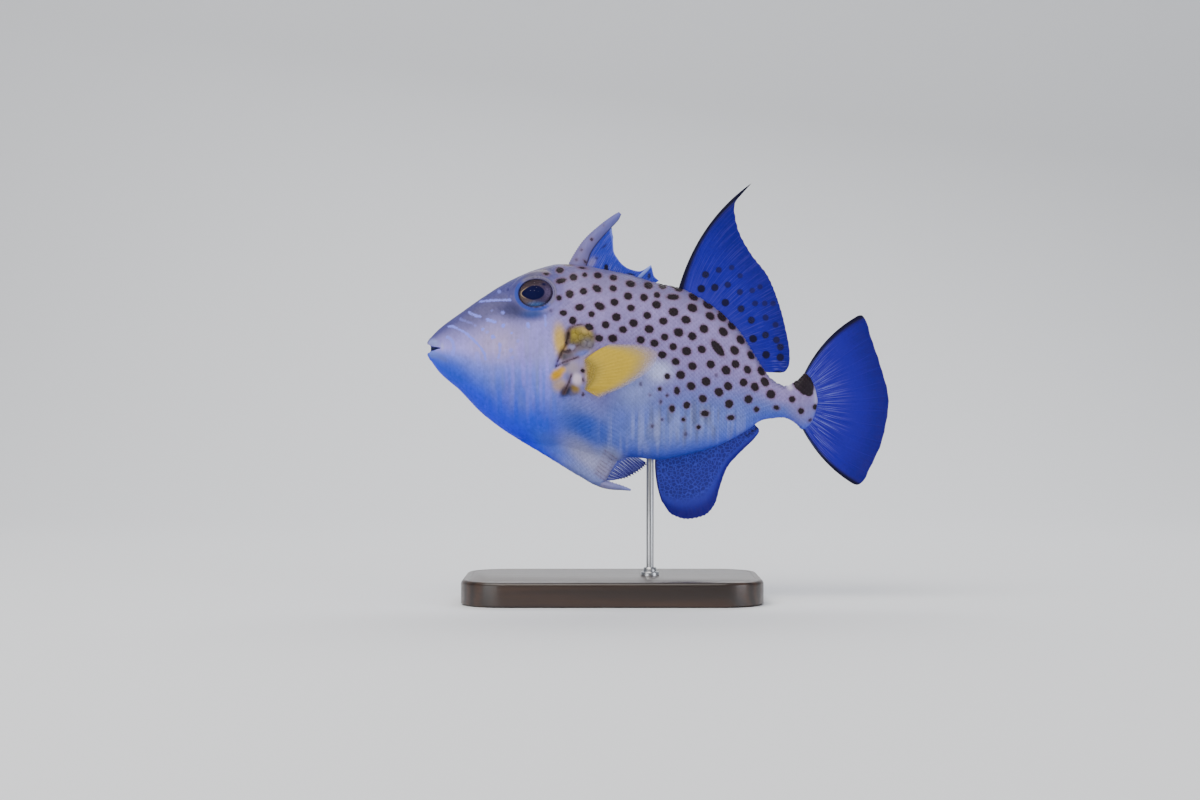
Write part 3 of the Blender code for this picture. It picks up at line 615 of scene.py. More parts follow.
@dataclass(frozen=True)
class FinMembrane:
    """Thin damp fin skin between rays. It lets some light through and shines softly along its folds."""

    name: str
    spot: str = "#0F0C2D"
    cells: float = 0.0
    cell_dark: str = "#181058"
    streaks: float = 110.0
    contrast: float = 0.14
    hair: str = "#98A2EC"

    def make(self) -> Material:
        """Build the material."""
        s = Shade(self.name)
        fine = s.add("TexNoise", {"Vector": s.coords, "Scale": 1 / (0.7 * MM), "Detail": 4.0})
        along = s.add("Math", (s.field("across"), self.streaks), operation="MULTIPLY")
        path = s.add("CombineXYZ", (along, s.field("out")))
        ribs = s.add("TexNoise", {"Vector": path, "Scale": 1.6, "Detail": 3.0})
        both = s.add("Math", (fine, ribs), operation="ADD")
        light = s.add("MapRange", (both, 0.7, 1.3, 1 - self.contrast, 1 + self.contrast))
        ground = s.add("VectorMath", {0: s.field("tint", "Color"), "Scale": light}, operation="SCALE")
        colour = ground
        if self.cells:
            net = s.add(
                "TexVoronoi", {"Vector": s.coords, "Scale": 1 / (self.cells * MM)},
                feature="DISTANCE_TO_EDGE",
            )
            inner = s.add("MapRange", (net, 0.02, 0.11, 0, 0.7))
            inner = s.add("Math", (inner, s.field("net")), operation="MULTIPLY")
            colour = s.add("Mix", {0: inner, 6: colour, 7: self.cell_dark}, data_type="RGBA")
        hairs = s.add("MapRange", (ribs, 0.52, 0.66), interpolation_type="SMOOTHSTEP")
        hairs = s.add("Math", (hairs, s.field("hair")), operation="MULTIPLY")
        colour = s.add("Mix", {0: hairs, 6: colour, 7: self.hair}, data_type="RGBA")
        ragged = s.add("Math", (fine, 0.4, s.field("spot")), operation="MULTIPLY_ADD")
        inside = s.add("MapRange", (ragged, -0.05, 0.45), interpolation_type="SMOOTHSTEP")
        inside = s.add("Math", (inside, s.field("dark_share")), operation="MULTIPLY")
        colour = s.add("Mix", {0: inside, 6: colour, 7: self.spot}, data_type="RGBA")
        solid = s.add("Math", (s.field("cover"), inside), operation="MAXIMUM")
        bump = s.add("Bump", {"Strength": 0.3, "Distance": 0.06 * MM, "Height": fine})
        return s.finish({
            "Base Color": colour,
            "Alpha": solid,
            "Normal": bump,
            "Roughness": 0.55,
            "Specular IOR Level": 0.12,
        })


@dataclass(frozen=True)
class FinRay:
    """Bony, jointed fin ray under a film of skin, banded across by its joints."""

    name: str = "jointed_fin_ray"
    joint: float = 0.9

    def make(self) -> Material:
        """Build the material."""
        s = Shade(self.name)
        bands = s.add(
            "TexWave", {"Vector": s.coords, "Scale": 1 / (self.joint * MM) / math.tau, "Distortion": 1.5},
            bands_direction="DIAGONAL",
        )
        light = s.add("MapRange", (bands.outputs["Fac"], 0, 1, 0.88, 1.1))
        colour = s.add("VectorMath", {0: s.field("tint", "Color"), "Scale": light}, operation="SCALE")
        bump = s.add("Bump", {"Strength": 0.3, "Distance": 0.04 * MM, "Height": bands.outputs["Fac"]})
        return s.finish({
            "Base Color": colour,
            "Alpha": s.field("cover"),
            "Normal": bump,
            "Roughness": 0.5,
            "Specular IOR Level": 0.2,
        })


@dataclass(frozen=True)
class IrisFinish:
    """Iris of the eye: fine fibres round a blue-black pupil, with a thin cream edge before it."""

    name: str = "fibrous_iris"
    # Colour of the pupil, laid also on the painted shadow above and behind it.
    pupil: str = "#0A0C38"
    edge: str = "#B09A78"

    def make(self) -> Material:
        """Build the material."""
        s = Shade(self.name)
        fibre = s.add("TexNoise", {"Vector": s.coords, "Scale": 1 / (0.5 * MM), "Detail": 4.0})
        light = s.add("MapRange", (fibre, 0.3, 0.7, 0.7, 1.25))
        ground = s.add("VectorMath", {0: s.field("tint", "Color"), "Scale": light}, operation="SCALE")
        rim = s.add("MapRange", (s.field("line"), -0.12, 0.12), interpolation_type="SMOOTHSTEP")
        colour = s.add("Mix", {0: rim, 6: ground, 7: self.edge}, data_type="RGBA")
        # The pupil and the painted shadow above and behind it, both in the pupil's colour.
        pupil_and_shadow = s.add("MapRange", (s.field("spot"), -0.15, 0.25), interpolation_type="SMOOTHSTEP")
        colour = s.add("Mix", {0: pupil_and_shadow, 6: colour, 7: self.pupil}, data_type="RGBA")
        bump = s.add("Bump", {"Strength": 0.2, "Distance": 0.08 * MM, "Height": fibre})
        return s.finish({
            "Base Color": colour,
            "Normal": bump,
            "Roughness": 0.7,
            "Specular IOR Level": 0.05,
        })


@dataclass(frozen=True)
class Cornea:
    """Clear cornea that bends light only a little and has a soft gloss."""

    name: str = "clear_cornea"

    def make(self) -> Material:
        """Build the material."""
        s = Shade(self.name)
        return s.finish({
            "Base Color": (1.0, 1.0, 1.0, 1.0),
            "Transmission Weight": 1.0,
            "IOR": 1.05,
            "Roughness": 0.05,
        })


@dataclass(frozen=True)
class StainedWood:
    """Dark stained, close-grained wood under satin varnish, with its grain along the base."""

    name: str = "dark_stained_wood"
    dark: str = "#22150E"
    pale: str = "#4A3020"
    grain: float = 1.1

    def make(self) -> Material:
        """Build the material."""
        s = Shade(self.name)
        long = s.add("Mapping", {"Vector": s.coords, "Scale": (0.05, 1.0, 1.0)})
        noise = s.add("TexNoise", {"Vector": long, "Scale": 1 / (self.grain * MM), "Detail": 6.0})
        rings = s.add(
            "TexWave",
            {"Vector": long, "Scale": 1 / (9 * self.grain * MM), "Distortion": 5.0, "Detail": 3.0},
            bands_direction="Y",
        )
        mixed = s.add("Math", (rings.outputs["Fac"], noise), operation="MULTIPLY")
        colour = s.add("Mix", {0: mixed, 6: self.dark, 7: self.pale}, data_type="RGBA")
        rough = s.add("MapRange", (noise, 0, 1, 0.34, 0.5))
        bump = s.add("Bump", {"Strength": 0.25, "Distance": 0.1 * MM, "Height": noise})
        return s.finish({
            "Base Color": colour,
            "Roughness": rough,
            "Normal": bump,
            "Coat Weight": 0.35,
            "Coat Roughness": 0.18,
        })


@dataclass(frozen=True)
class BrushedSteel:
    """Stainless steel rod, brushed round its length."""

    name: str = "brushed_steel"
    colour: str = "#B4B5B8"

    def make(self) -> Material:
        """Build the material."""
        s = Shade(self.name)
        rings = s.add("Mapping", {"Vector": s.coords, "Scale": (0.08, 0.08, 1.0)})
        noise = s.add("TexNoise", {"Vector": rings, "Scale": 1 / (0.12 * MM), "Detail": 3.0})
        rough = s.add("MapRange", (noise, 0, 1, 0.2, 0.42))
        bump = s.add("Bump", {"Strength": 0.15, "Distance": 0.02 * MM, "Height": noise})
        return s.finish({
            "Base Color": self.colour,
            "Metallic": 1.0,
            "Roughness": rough,
            "Normal": bump,
        })


@dataclass(frozen=True)
class StudioPaper:
    """Matt, pale backdrop paper."""

    name: str = "pale_backdrop_paper"
    colour: str = "#E9EBEF"

    def make(self) -> Material:
        """Build the material."""
        s = Shade(self.name)
        return s.finish({"Base Color": self.colour, "Roughness": 0.9})


def hand_over(obj: Object, material: Material, slot: Slot | None, *nodes: str) -> Object:
    """Dress a finished piece and hand it to the frame.

    Args:
        obj: The piece, with its place in its mesh.
        material: Its finish.
        slot: The material slot it stands for; not used.
        *nodes: The solids it replaces.

    Returns:
        The piece.
    """
    obj.data.materials.clear()
    obj.data.materials.append(material)
    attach(obj, "root")
    if nodes:
        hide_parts(*nodes)
    log.info("%s: %d faces", obj.name, len(obj.data.polygons))
    return obj


def bake_modifier(obj: Object) -> Object:
    """Turn an object's evaluated result into a plain mesh and drop its modifiers."""
    graph = bpy.context.evaluated_depsgraph_get()
    mesh = bpy.data.meshes.new_from_object(
        obj.evaluated_get(graph), preserve_all_data_layers=True, depsgraph=graph,
    )
    obj.modifiers.clear()
    obj.data = mesh
    return obj


class NodeForge:
    """Geometry Nodes trees that set small plates over a surface and draw tubes along rays."""

    def __init__(self, name: str, inputs: Sequence[tuple[str, str]]) -> None:
        """Start a tree with its named inputs.

        Args:
            name: Name of the tree.
            inputs: Name and socket type of each input after the geometry.
        """
        self.tree = bpy.data.node_groups.new(name, "GeometryNodeTree")
        face = self.tree.interface
        face.new_socket("Geometry", in_out="INPUT", socket_type="NodeSocketGeometry")
        face.new_socket("Geometry", in_out="OUTPUT", socket_type="NodeSocketGeometry")
        self.keys = {
            n: face.new_socket(n, in_out="INPUT", socket_type=kind).identifier for n, kind in inputs
        }
        self.source = self.tree.nodes.new("NodeGroupInput")

    def add(self, kind: str, inputs: Inputs = (), **settings: Any) -> Node:
        """Add a node to the tree, as add_node does."""
        return add_node(self.tree, kind, inputs, **settings)

    def named(self, name: str, kind: str = "FLOAT_VECTOR") -> Node:
        """Read a named attribute of the points."""
        return self.add("GeometryNodeInputNamedAttribute", {"Name": name}, data_type=kind)

    def close(self, geometry: Node) -> None:
        """Send a geometry through Set Material to the tree's output."""
        finish = self.source.outputs["Finish"]
        self.add("NodeGroupOutput", [self.add("GeometryNodeSetMaterial", {0: geometry, "Material": finish})])

    def run(self, obj: Object, values: dict[str, Any]) -> Object:
        """Run the tree on an object and keep its result as a plain mesh.

        Args:
            obj: Mesh object whose vertices carry the attributes.
            values: Value of each named input.

        Returns:
            The same object with its new mesh.
        """
        modifier = obj.modifiers.new(self.tree.name, "NODES")
        modifier.node_group = self.tree
        for name, value in values.items():
            modifier[self.keys[name]] = value
        return bake_modifier(obj)

    @classmethod
    def plates(cls) -> "NodeForge":
        """Tree that sets one copy of a plate on each vertex, by its out, along, size and root attributes."""
        forge = cls("set_plates", (("Plate", "NodeSocketObject"), ("Finish", "NodeSocketMaterial")))
        info = forge.add("GeometryNodeObjectInfo", {"Object": forge.source.outputs["Plate"]})
        axes = [forge.named("out"), forge.named("along")]
        turn = forge.add("FunctionNodeAxesToRotation", axes, primary_axis="Z", secondary_axis="X")
        copies = forge.add("GeometryNodeInstanceOnPoints", {
            "Points": forge.source,
            "Instance": info.outputs["Geometry"],
            "Rotation": turn,
            "Scale": forge.named("size"),
        })
        real = forge.add("GeometryNodeRealizeInstances", [copies])
        spread = forge.add("ShaderNodeVectorMath", [forge.named("root"), forge.named("patch")])
        mapping = {"Geometry": real, "Name": BAKE_MAP, "Value": spread}
        forge.close(forge.add(
            "GeometryNodeStoreNamedAttribute", mapping, data_type="FLOAT2", domain="CORNER",
        ))
        return forge

    @classmethod
    def tubes(cls) -> "NodeForge":
        """Tree that draws a tapering tube along each chain of edges, by its radius attribute."""
        forge = cls("draw_rays", (("Sides", "NodeSocketInt"), ("Finish", "NodeSocketMaterial")))
        curve = forge.add("GeometryNodeMeshToCurve", [forge.source])
        sides = forge.source.outputs["Sides"]
        ring = forge.add("GeometryNodeCurvePrimitiveCircle", {"Resolution": sides, "Radius": 1.0})
        tube = forge.add("GeometryNodeCurveToMesh", {
            "Curve": curve,
            "Profile Curve": ring,
            "Scale": forge.named("radius", "FLOAT"),
            "Fill Caps": True,
        })
        forge.close(forge.add("GeometryNodeSetShadeSmooth", [tube]))
        return forge


def nearest(marks: Sequence[Stroke | Spot], d: Field, h: Field) -> tuple[Field, Field]:
    """Find the nearest of some marks at points of the side view.

    Args:
        marks: Strokes or spots.
        d: Distances behind the snout.
        h: Heights above the mouth line.

    Returns:
        Distance inside the nearest mark's edge, negative outside it, and that mark's strength.
    """
    if not marks:
        return np.full(len(d), FAR), np.ones(len(d))
    depths = np.array([mark.inside(d, h) for mark in marks])
    strengths = np.array([mark.amount for mark in marks])
    return np.maximum(depths.max(0), FAR), strengths[depths.argmax(0)]


@dataclass
class Markings:
    """Colours of the skin, the same on both flanks and on the scales that cover it."""

    # Painted shade: the deep blue towards the keel stands for the blue shade on the underside, laid over the
    # throat and belly's own pale bluish white.
    head: Gradient = Gradient((
        (0.03, "#011FE2"), (0.17, "#2443DB"), (0.3, "#4E64D7"), (0.42, "#6C79E2"), (0.55, "#9F95EE"),
        (0.75, "#7F78BA"), (0.9, "#4E4C88"), (1, "#3E3F80"),
    ))
    # Painted shade here too: the darker blue towards the keel is the blue shade on the underside.
    trunk: Gradient = Gradient((
        (0, "#2638B4"), (0.05, "#3F55C8"), (0.14, "#4A60C2"), (0.3, "#5E6BB9"), (0.42, "#7170B4"),
        (0.55, "#8577B2"), (0.85, "#8C7DB3"), (0.95, "#776D99"), (1, "#5E5A8A"),
    ))
    patches: tuple[Patch, ...] = tuple(Patch(*row) for row in (
        (24, 1, 9, 6, 10, 1.2, "#B8A29E", 0.45), (34, -1, 6, 7, 10, 1.4, "#7E7CB8", 0.4),
        # Painted shade: these two deep blue ovals on the throat deepen the blue shade of the underside.
        (9, -8.2, 6.5, 3.6, -38, 1.5, "#1B40CC", 0.6), (15.5, -17, 8, 4, -36, 1.5, "#0A2ADC", 0.6),
        (41, -31.5, 8, 3.4, -36, 1.6, "#4C68B4", 0.55), (34, -7, 12, 12, 0, 1.5, "#9A86F0", 0.4, 1.1, 9, 2),
        (34, -9, 12, 11, 0, 1.5, "#7D8697", 0.35, 1.4, 11, 3),
        # Painted shade: the two dark ovals at (28.3, 12) and (35.2, 10.6) lie in the hollow in front of and
        # below the eye.
        (28.3, 12, 6.4, 3.3, -14, 1.6, "#34345C", 0.92), (35.2, 10.6, 4, 1.7, 4, 1.5, "#223C80", 0.9),
        (18.5, 11.4, 8.5, 3.2, 30, 1.5, "#57527A", 0.75), (36.5, 24.2, 5, 1.5, 20, 1.4, "#6A6258", 0.5),
        # Painted shade: the deep blue oval at (53, -26.6) fills the hollow above the pelvic ridge.
        (53, -26.6, 9, 4.6, -28, 1.8, "#2244B2", 0.95), (54, -36.6, 12.5, 4.2, -38, 1.6, "#9494B4", 0.9),
        (52, -41.5, 11, 2.6, -33, 1.5, "#7C86B4", 0.7), (60, -35, 4.5, 3.2, -30, 1.6, "#8E93B8", 0.85),
        (68, -13.5, 6.5, 6.5, 40, 1.4, "#8D9ADB", 0.75), (75.2, -7.6, 4.4, 3.6, 0, 1.4, "#B9C0EE", 0.85),
        (80, -26.5, 20, 5.5, 8, 1.3, "#7888CC", 0.6), (84, -24, 17, 7.5, 0, 2.2, "#5D5F74", 0.6, 1.35, 7, 4),
        (88, -24.5, 17, 6, 0, 2.2, "#A9B2EA", 0.26, 0.8, 12, 6),
        (70, -27, 13, 7, 0, 2, "#A3ACE6", 0.36, 1, 12, 5), (43.8, 1.8, 2.4, 6, 8, 2.2, "#C2A040", 0.95),
        (47.5, -6.6, 3.2, 2.6, -20, 1.6, "#94868C", 0.85), (43.2, -11.6, 3, 2, -20, 1.4, "#8F7F86", 0.7),
        (45.6, -2.4, 2.2, 1.5, 20, 1.6, "#4A4A58", 0.9), (50.2, 3, 5.2, 4.3, -8, 3.4, "#3A3226", 0.85),
        # Painted highlight: the pale gold oval at (51.4, 5.3) on the upper edge of the large plates.
        (50.2, 3, 4.6, 3.7, -8, 3.4, "#7C6D2E", 0.95), (51.4, 5.3, 2, 1, -20, 1.6, "#B89F58", 0.8),
        (48, 4.4, 1.8, 1.7, 0, 1.6, "#94822C", 0.8), (52.4, 0.9, 2.2, 2, 20, 1.4, "#6E6A7C", 0.85),
        (49.6, 0.8, 2, 1.1, 0, 1.6, "#3E3628", 0.75), (46.6, 4.4, 0.8, 2.4, 0, 1.6, "#3A3024", 0.75),
        (54.4, -8.2, 3, 6.2, 8, 1.8, "#BC9F38", 1), (48.8, -1.7, 4.4, 2.4, 18, 2, "#6C6270", 0.85),
        # Painted shade: the dark grey ovals at (46.2, 1.4), (44.6, -2.8) and (46.6, -10.6) lie along the
        # gill slit and the fold below it.
        (46.2, 1.4, 1, 3.8, 12, 1.3, "#3C3438", 0.7), (44.6, -2.8, 1.3, 2, 30, 1.3, "#3C3840", 0.65),
        # Painted highlights: the pale lilac ovals at (47.5, -0.1) and (50.9, -2) on the grey zone behind the
        # gill slit.
        (46.6, -10.6, 1, 2.4, 20, 1.3, "#55505C", 0.6), (47.5, -0.1, 1.3, 1, 0, 1.8, "#8F8AB6", 0.9),
        (50.9, -2, 2.4, 0.9, 14, 1.8, "#6C74BE", 0.9), (42.6, -8.8, 2.4, 1.7, 35, 2.2, "#CE9A06", 1),
        (44.3, -7.2, 1.3, 1.1, 0, 2, "#D0A020", 0.9), (43.6, -12.2, 2.4, 2.2, 30, 1.6, "#B0937C", 0.8),
        (45.5, -5.5, 1.5, 0.6, 24, 2, "#3C3A4C", 0.8), (48.4, -13.2, 2, 1.5, -30, 1.8, "#8A6E12", 0.95),
        (47.6, -15, 2, 0.7, 10, 1.5, "#4A4450", 0.7), (49.2, -10.3, 1.7, 2, 25, 2.4, "#CFBBD0", 0.95),
        (45.5, -14, 2.5, 1.6, 45, 2, "#16172E", 1), (117.6, -12.4, 1, 1.4, 30, 2, "#C4BCDC", 0.9),
        (126.3, -14.5, 0.8, 5, 0, 1.6, "#A9A8D0", 0.7), (122, -20, 5, 5, 0, 1.6, "#8A7AA8", 0.5),
        # The pale oval at (2.9, 1.6) is the upper lip's own pale colour with a painted highlight.
        (2.9, 1.6, 1.9, 1.2, -20, 1.6, "#8892D2", 0.9), (2.6, -2.2, 1.8, 1.1, 0, 1.6, "#6276D2", 0.85),
        (5.6, -3.4, 2.2, 0.8, -30, 1.5, "#5A66B4", 0.6), (5.6, 0.3, 0.6, 1.2, 0, 1.6, "#B3AEDA", 0.5),
    ))
    strokes: tuple[Stroke, ...] = tuple(Stroke(*row) for row in (
        (((7.4, 3.4), (8.8, 2.4), (9.5, 0.2), (9, -2.2)), 1.25, 0.65),
        (
            (
                (7.5, 6.9), (8.9, 6.9), (10.5, 6.1), (13.2, 4.8), (15.6, 2.6), (18, 0.2), (19.4, -2),
                (19.7, -3.9),
            ),
            0.8, 0.9,
        ),
        (((14.3, 11.4), (16.4, 10.3), (18.1, 9.9)), 0.8, 0.9), (((20.3, 8.9), (22.9, 8.1)), 0.85, 1),
        (((11.6, 9.1), (15.3, 7.7)), 0.8, 0.35), (((24.4, 1), (24.4, -1.2), (24, -3.3)), 0.8, 0.65),
        (((17.6, 14.9), (22.8, 15.2), (27.6, 15.2)), 0.6, 0.85), (((23.9, 18.2),), 0.9, 0.5),
        (((28, -1),), 1.1, 0.5), (((38.9, 10), (39, 6.8)), 0.8, 0.6), (((17, -2), (17.7, -5.4)), 1.4, 0.3),
        (((16.4, 7.05),), 1, 0.35), (((18.8, 5.7),), 1.1, 0.9), (((20.3, 4.9),), 1, 0.45),
        (((22.2, 3.4),), 1.2, 0.9), (((25.3, 11.2),), 1.2, 0.7), (((25.5, 6.9),), 1.4, 1),
        (((28.2, 4.6),), 1.2, 0.9), (((33.3, 7.4), (33.4, 6.6)), 1.1, 0.9), (((21.8, 11.9),), 1, 0.35),
        (((28.3, -3.3),), 1.2, 0.4), (((30.2, 2.1),), 1, 0.4),
    ))
    # Painted shade: the dark lines along the gill slit and the folds beside it. The row of eight short lines
    # above the pelvic flap are dark streaks of the skin.
    creases: tuple[Stroke, ...] = (
        Stroke(((46.6, 4.2), (46.1, 1.4), (44.6, -1.1), (42.9, -4.5)), 0.6, 0.5),
        Stroke(((46.2, 4.4), (47.1, 6), (48.6, 6.9), (50.6, 7.2)), 0.45, 0.8),
        Stroke(((44.6, -1.3), (45.6, -1.5), (46.8, -1)), 0.9, 0.8),
        Stroke(((49.4, -3.2), (47.2, -4), (44.4, -5), (42.6, -6)), 0.62, 0.75),
        Stroke(((46, -1.8), (48.2, -1), (49.4, 0.6)), 0.5, 0.6),
        *(
            Stroke(((54.8 + 0.45 * k, -40.5 + 1.05 * k), (58.5 + 0.45 * k, -43.1 + 1.05 * k)), 0.16, 0.6)
            for k in range(8)
        ),
        Stroke(((47.3, -8.8), (46.6, -11), (45.8, -12.6), (44.9, -14.6)), 0.6, 0.8),
    )
    plain_spots: tuple[Pair, ...] = (
        (43.5, 24.9), (47.9, 22.5), (55.7, 23.2), (60.7, 22.5), (72, 20.1), (76.6, 20), (81.7, 19.2),
        (86.6, 16.5), (91.3, 14), (95.8, 9.9), (99, 7.1), (101.8, 2.6), (105.1, -2.4), (108.5, -7.5),
        (109.6, -11), (51.1, 17.9), (60.6, 18.9), (65.4, 16.4), (70.5, 16), (86.1, 12.8), (91.9, 10.2),
        (96.1, 5.1), (99.7, -0.9), (103.9, -7.1), (106.3, -12.6), (61, 14.4), (66.3, 12.6), (71.5, 10.2),
        (74.5, 13.7), (80, 11.4), (84, 8.9), (89.8, 6), (100, -5.3), (102.6, -11.2), (61.6, 9.6),
        (67.1, 7.7), (72.1, 5.8), (76.7, 8.4), (81.6, 4.8), (86, 3.6), (89, -0.6), (91.9, -5.4),
        (96.9, -7.3), (97.6, -12.4), (58.2, 7.1), (63.7, 5.6), (69.4, 2.3), (73.8, 1.3), (77.1, 3.3),
        (79.8, 0.2), (84.1, -1.2), (86, -6), (90.4, -10.9), (94.6, -14.3), (56.1, 2.8), (60.5, 2.8),
        (76.3, -2.4), (80.6, -4.6), (82.2, -8.8), (85.6, -12.4), (89.4, -16.4),
    )
    marks: tuple[Spot, ...] = tuple(Spot(*row) for row in (
        (46.2, 26.8, 0.45, 2.9, -4), (50.7, 25.7, 0.45, 2.9, -8), (39.2, 23.5, 0.7, 1.5, -8),
        (38, 24.8, 0.55, 1.5, 30, 0.35), (34.3, 23.9, 0.3, 4, 25, 0.6), (51.5, 23.3, 0.85),
        (66.2, 20.5, 1.2, 1.35, -12), (43.9, 21.3, 0.95, 1.9, 12), (46.7, 17, 1.35),
        (55.4, 18.8, 1.15, 1.4, -35), (74.7, 16.9, 1.05), (79.9, 16.3, 1.05, 2, 0), (111.5, -15, 1.5, 1.05),
        (118.4, -16.6, 1.1), (43.3, 15.7, 0.93), (44.7, 10.9, 1, 1.25, -8), (40.8, 11.7, 0.6, 1.2, 0, 0.4),
        (49.9, 12.7, 1.15, 1.35, 10), (56.3, 13.1, 1.25, 1.45, -30), (94.2, -0.2, 1.4, 2.3, -52),
        (104.2, -16.6, 1.38), (113.3, -19.3, 0.8, 1.3, -20), (121.3, -20.4, 1.05), (47.7, 8.5, 1.25),
        (53.7, 10.5, 1.05), (97.9, -18.1, 1.4), (106.9, -19.9, 0.95), (53, 6.4, 1.15, 1.3, -20),
        (98.5, -22.5, 0.9, 1.4, 5), (90.1, -21.2, 1, 1.4, 0), (77.9, -9.3, 1), (81, -13.9, 1, 1.3, 90),
        (84.2, -18.5, 1.2), (88.1, -25.6, 0.75), (75.5, -13.3, 0.7), (79.5, -19.6, 0.95, 1.2, 90),
        (83.1, -23.1, 0.7), (93.7, -8.9, 0.6, 1, 0, 0.45), (77.9, -15.4, 0.5, 1, 0, 0.8),
        (72.3, -15.2, 0.4, 1, 0, 0.7), (73.1, -25.2, 0.55, 1, 0, 0.6), (76.3, -23.1, 0.5, 1, 0, 0.6),
        (84, -27.8, 0.6, 1.5, 90, 0.5), (75.8, -17.4, 0.45, 1.4, 90, 0.7), (69.4, -11.8, 0.5, 1.5, 90, 0.55),
        (126, -19.1, 0.95), (124.4, -23.3, 0.5, 1.4, 30, 0.8), (121.9, -11.2, 3), (123, -12.6, 2.7),
        (123.4, -10.6, 2.3), (123.9, -14.2, 1.5), (45.6, 1.3, 0.4), (50.9, -7.5, 0.75),
        (51, -10.5, 0.42, 1.8, 90, 0.9), (51, -15.1, 0.5, 1.4, 90, 0.8),
    ))
    size: Profile = Profile((
        (42, 1.08), (45, 1.12), (60, 1.25), (75, 1.3), (90, 1.35), (112, 1.3), (126, 0.75),
    ))
    across: float = 0.3
    found: list[tuple[Field, Field, Field, Spot]] = field(default_factory=list)

    def lay_spots(self) -> None:
        """Lay the spots on both flanks, those of the right one with a little play."""
        draw = np.random.default_rng(SEED)
        for side in Side:
            for d, h in self.plain_spots:
                play = draw.normal(0, 0.6, 2) if side is Side.RIGHT else (0.0, 0.0)
                near_back = float(ramp(FORM.back.at(d) - h, 12.0, 6.0)) * float(ramp(d, 76.0, 84.0))
                size = float(self.size.at(d)) * draw.uniform(0.9, 1.08)
                stretch = 1.06 + 0.16 * near_back + 0.1 * draw.uniform()
                self.keep(Spot(d + play[0], h + play[1], size, stretch, self.slope(d)), side)
            for spot in self.marks:
                self.keep(spot, side)

    def slope(self, d: float) -> float:
        """Slope of the back, in degrees, which the spots below it follow."""
        return math.degrees(math.atan2(float(FORM.back.at(d + 2) - FORM.back.at(d - 2)), 4.0))

    def keep(self, spot: Spot, side: Side) -> None:
        """Turn a spot of the side view into one on the flank."""
        point, _, _, out = FORM.facing(spot.d, spot.h, side)
        angle = math.radians(spot.slope)
        self.found.append((point, np.array([math.cos(angle), 0.0, math.sin(angle)]), out, spot))

    def spots(self, points: Field) -> tuple[Field, Field]:
        """Measure how far points lie inside the nearest spot, in space.

        Args:
            points: Points in metres.

        Returns:
            Distance inside its edge, in millimetres and negative outside it, and its strength.
        """
        best = np.full(len(points), FAR)
        strength = np.ones(len(points))
        for middle, along, out, spot in self.found:
            near = np.flatnonzero(np.abs(points[:, 0] - middle[0]) < (spot.radius * spot.stretch + 2) * MM)
            part = (points[near] - middle) / MM
            close = np.abs(part @ out) < 3.0
            near, part = near[close], part[close] * (1.0, self.across, 1.0)
            run = part @ along
            away = (part**2).sum(1) - run**2 * (1 - spot.stretch**-2.0)
            depth = spot.radius - np.sqrt(np.maximum(away, 0))
            better = depth > best[near]
            best[near[better]] = depth[better]
            strength[near[better]] = spot.amount
        return best, strength

    def ring_eye(self, tint: Field, d: Field, h: Field) -> Field:
        """Paint the rings round the eye: blue before and below it, brown above and behind it."""
        x, z = (d - EYE_AT[0]) / 5.6, (h - EYE_AT[1]) / 4.75
        u = np.hypot(x, z)
        front = ramp(-0.75 * x - 0.75 * z, -0.25, 0.35)
        ring = ramp(np.abs(u - 1.11), 0.14, 0.07)
        tint = blend(tint, linear("#6A6380"), ring * (1 - front) * 0.8)
        tint = blend(tint, linear("#1E3898"), ring * front * 0.95)
        arcs = np.maximum(ramp(np.abs(u - 1.08), 0.03, 0.0), 0.7 * ramp(np.abs(u - 1.22), 0.03, 0.0))
        tint = blend(tint, linear("#2C2A45"), arcs * ramp(0.5 * x + 0.7 * z, 0.1, 0.6) * 0.8)
        # Painted shade: dark inside the lid's edge, where the skin sinks into the socket.
        return blend(tint, linear("#1E1D36"), ramp(u, 1.03, 0.96))

    def dress(self, mesh: Mesh) -> None:
        """Write the markings onto a mesh of the skin or of its scales.

        Args:
            mesh: Mesh whose vertices lie on the flank.
        """
        points = read_points(mesh)
        d, h, _ = on_fish(points)
        back, keel = FORM.back.at(d), FORM.keel.at(d)
        up = np.clip((h - keel) / (back - keel), 0, 1)
        tint = blend(self.head.at(up), self.trunk.at(up), ramp(d, 38.0, 50.0))
        for patch in self.patches:
            tint = patch.over(tint, d, h)
        tint = self.ring_eye(tint, d, h)
        # Painted shade: the inside of the open mouth is painted dark navy.
        tint = blend(tint, linear("#121B4A"), ramp(MOUTH.open_share(d, h), 0.3, 0.9))
        line, line_share = nearest(self.strokes, d, h)
        # The creases add painted shade along the gill slit and folds, in the same field as the dark spots.
        crease, crease_share = nearest(self.creases, d, h)
        spot, spot_share = self.spots(points)
        dark_share = np.where(spot > crease, spot_share, crease_share)
        dark = {"spot": np.maximum(spot, crease), "dark_share": dark_share}
        write_fields(mesh, tint=tint, line=line, line_share=line_share, **dark)
        if "shade" not in mesh.attributes:
            write_fields(mesh, shade=np.zeros(len(points)))


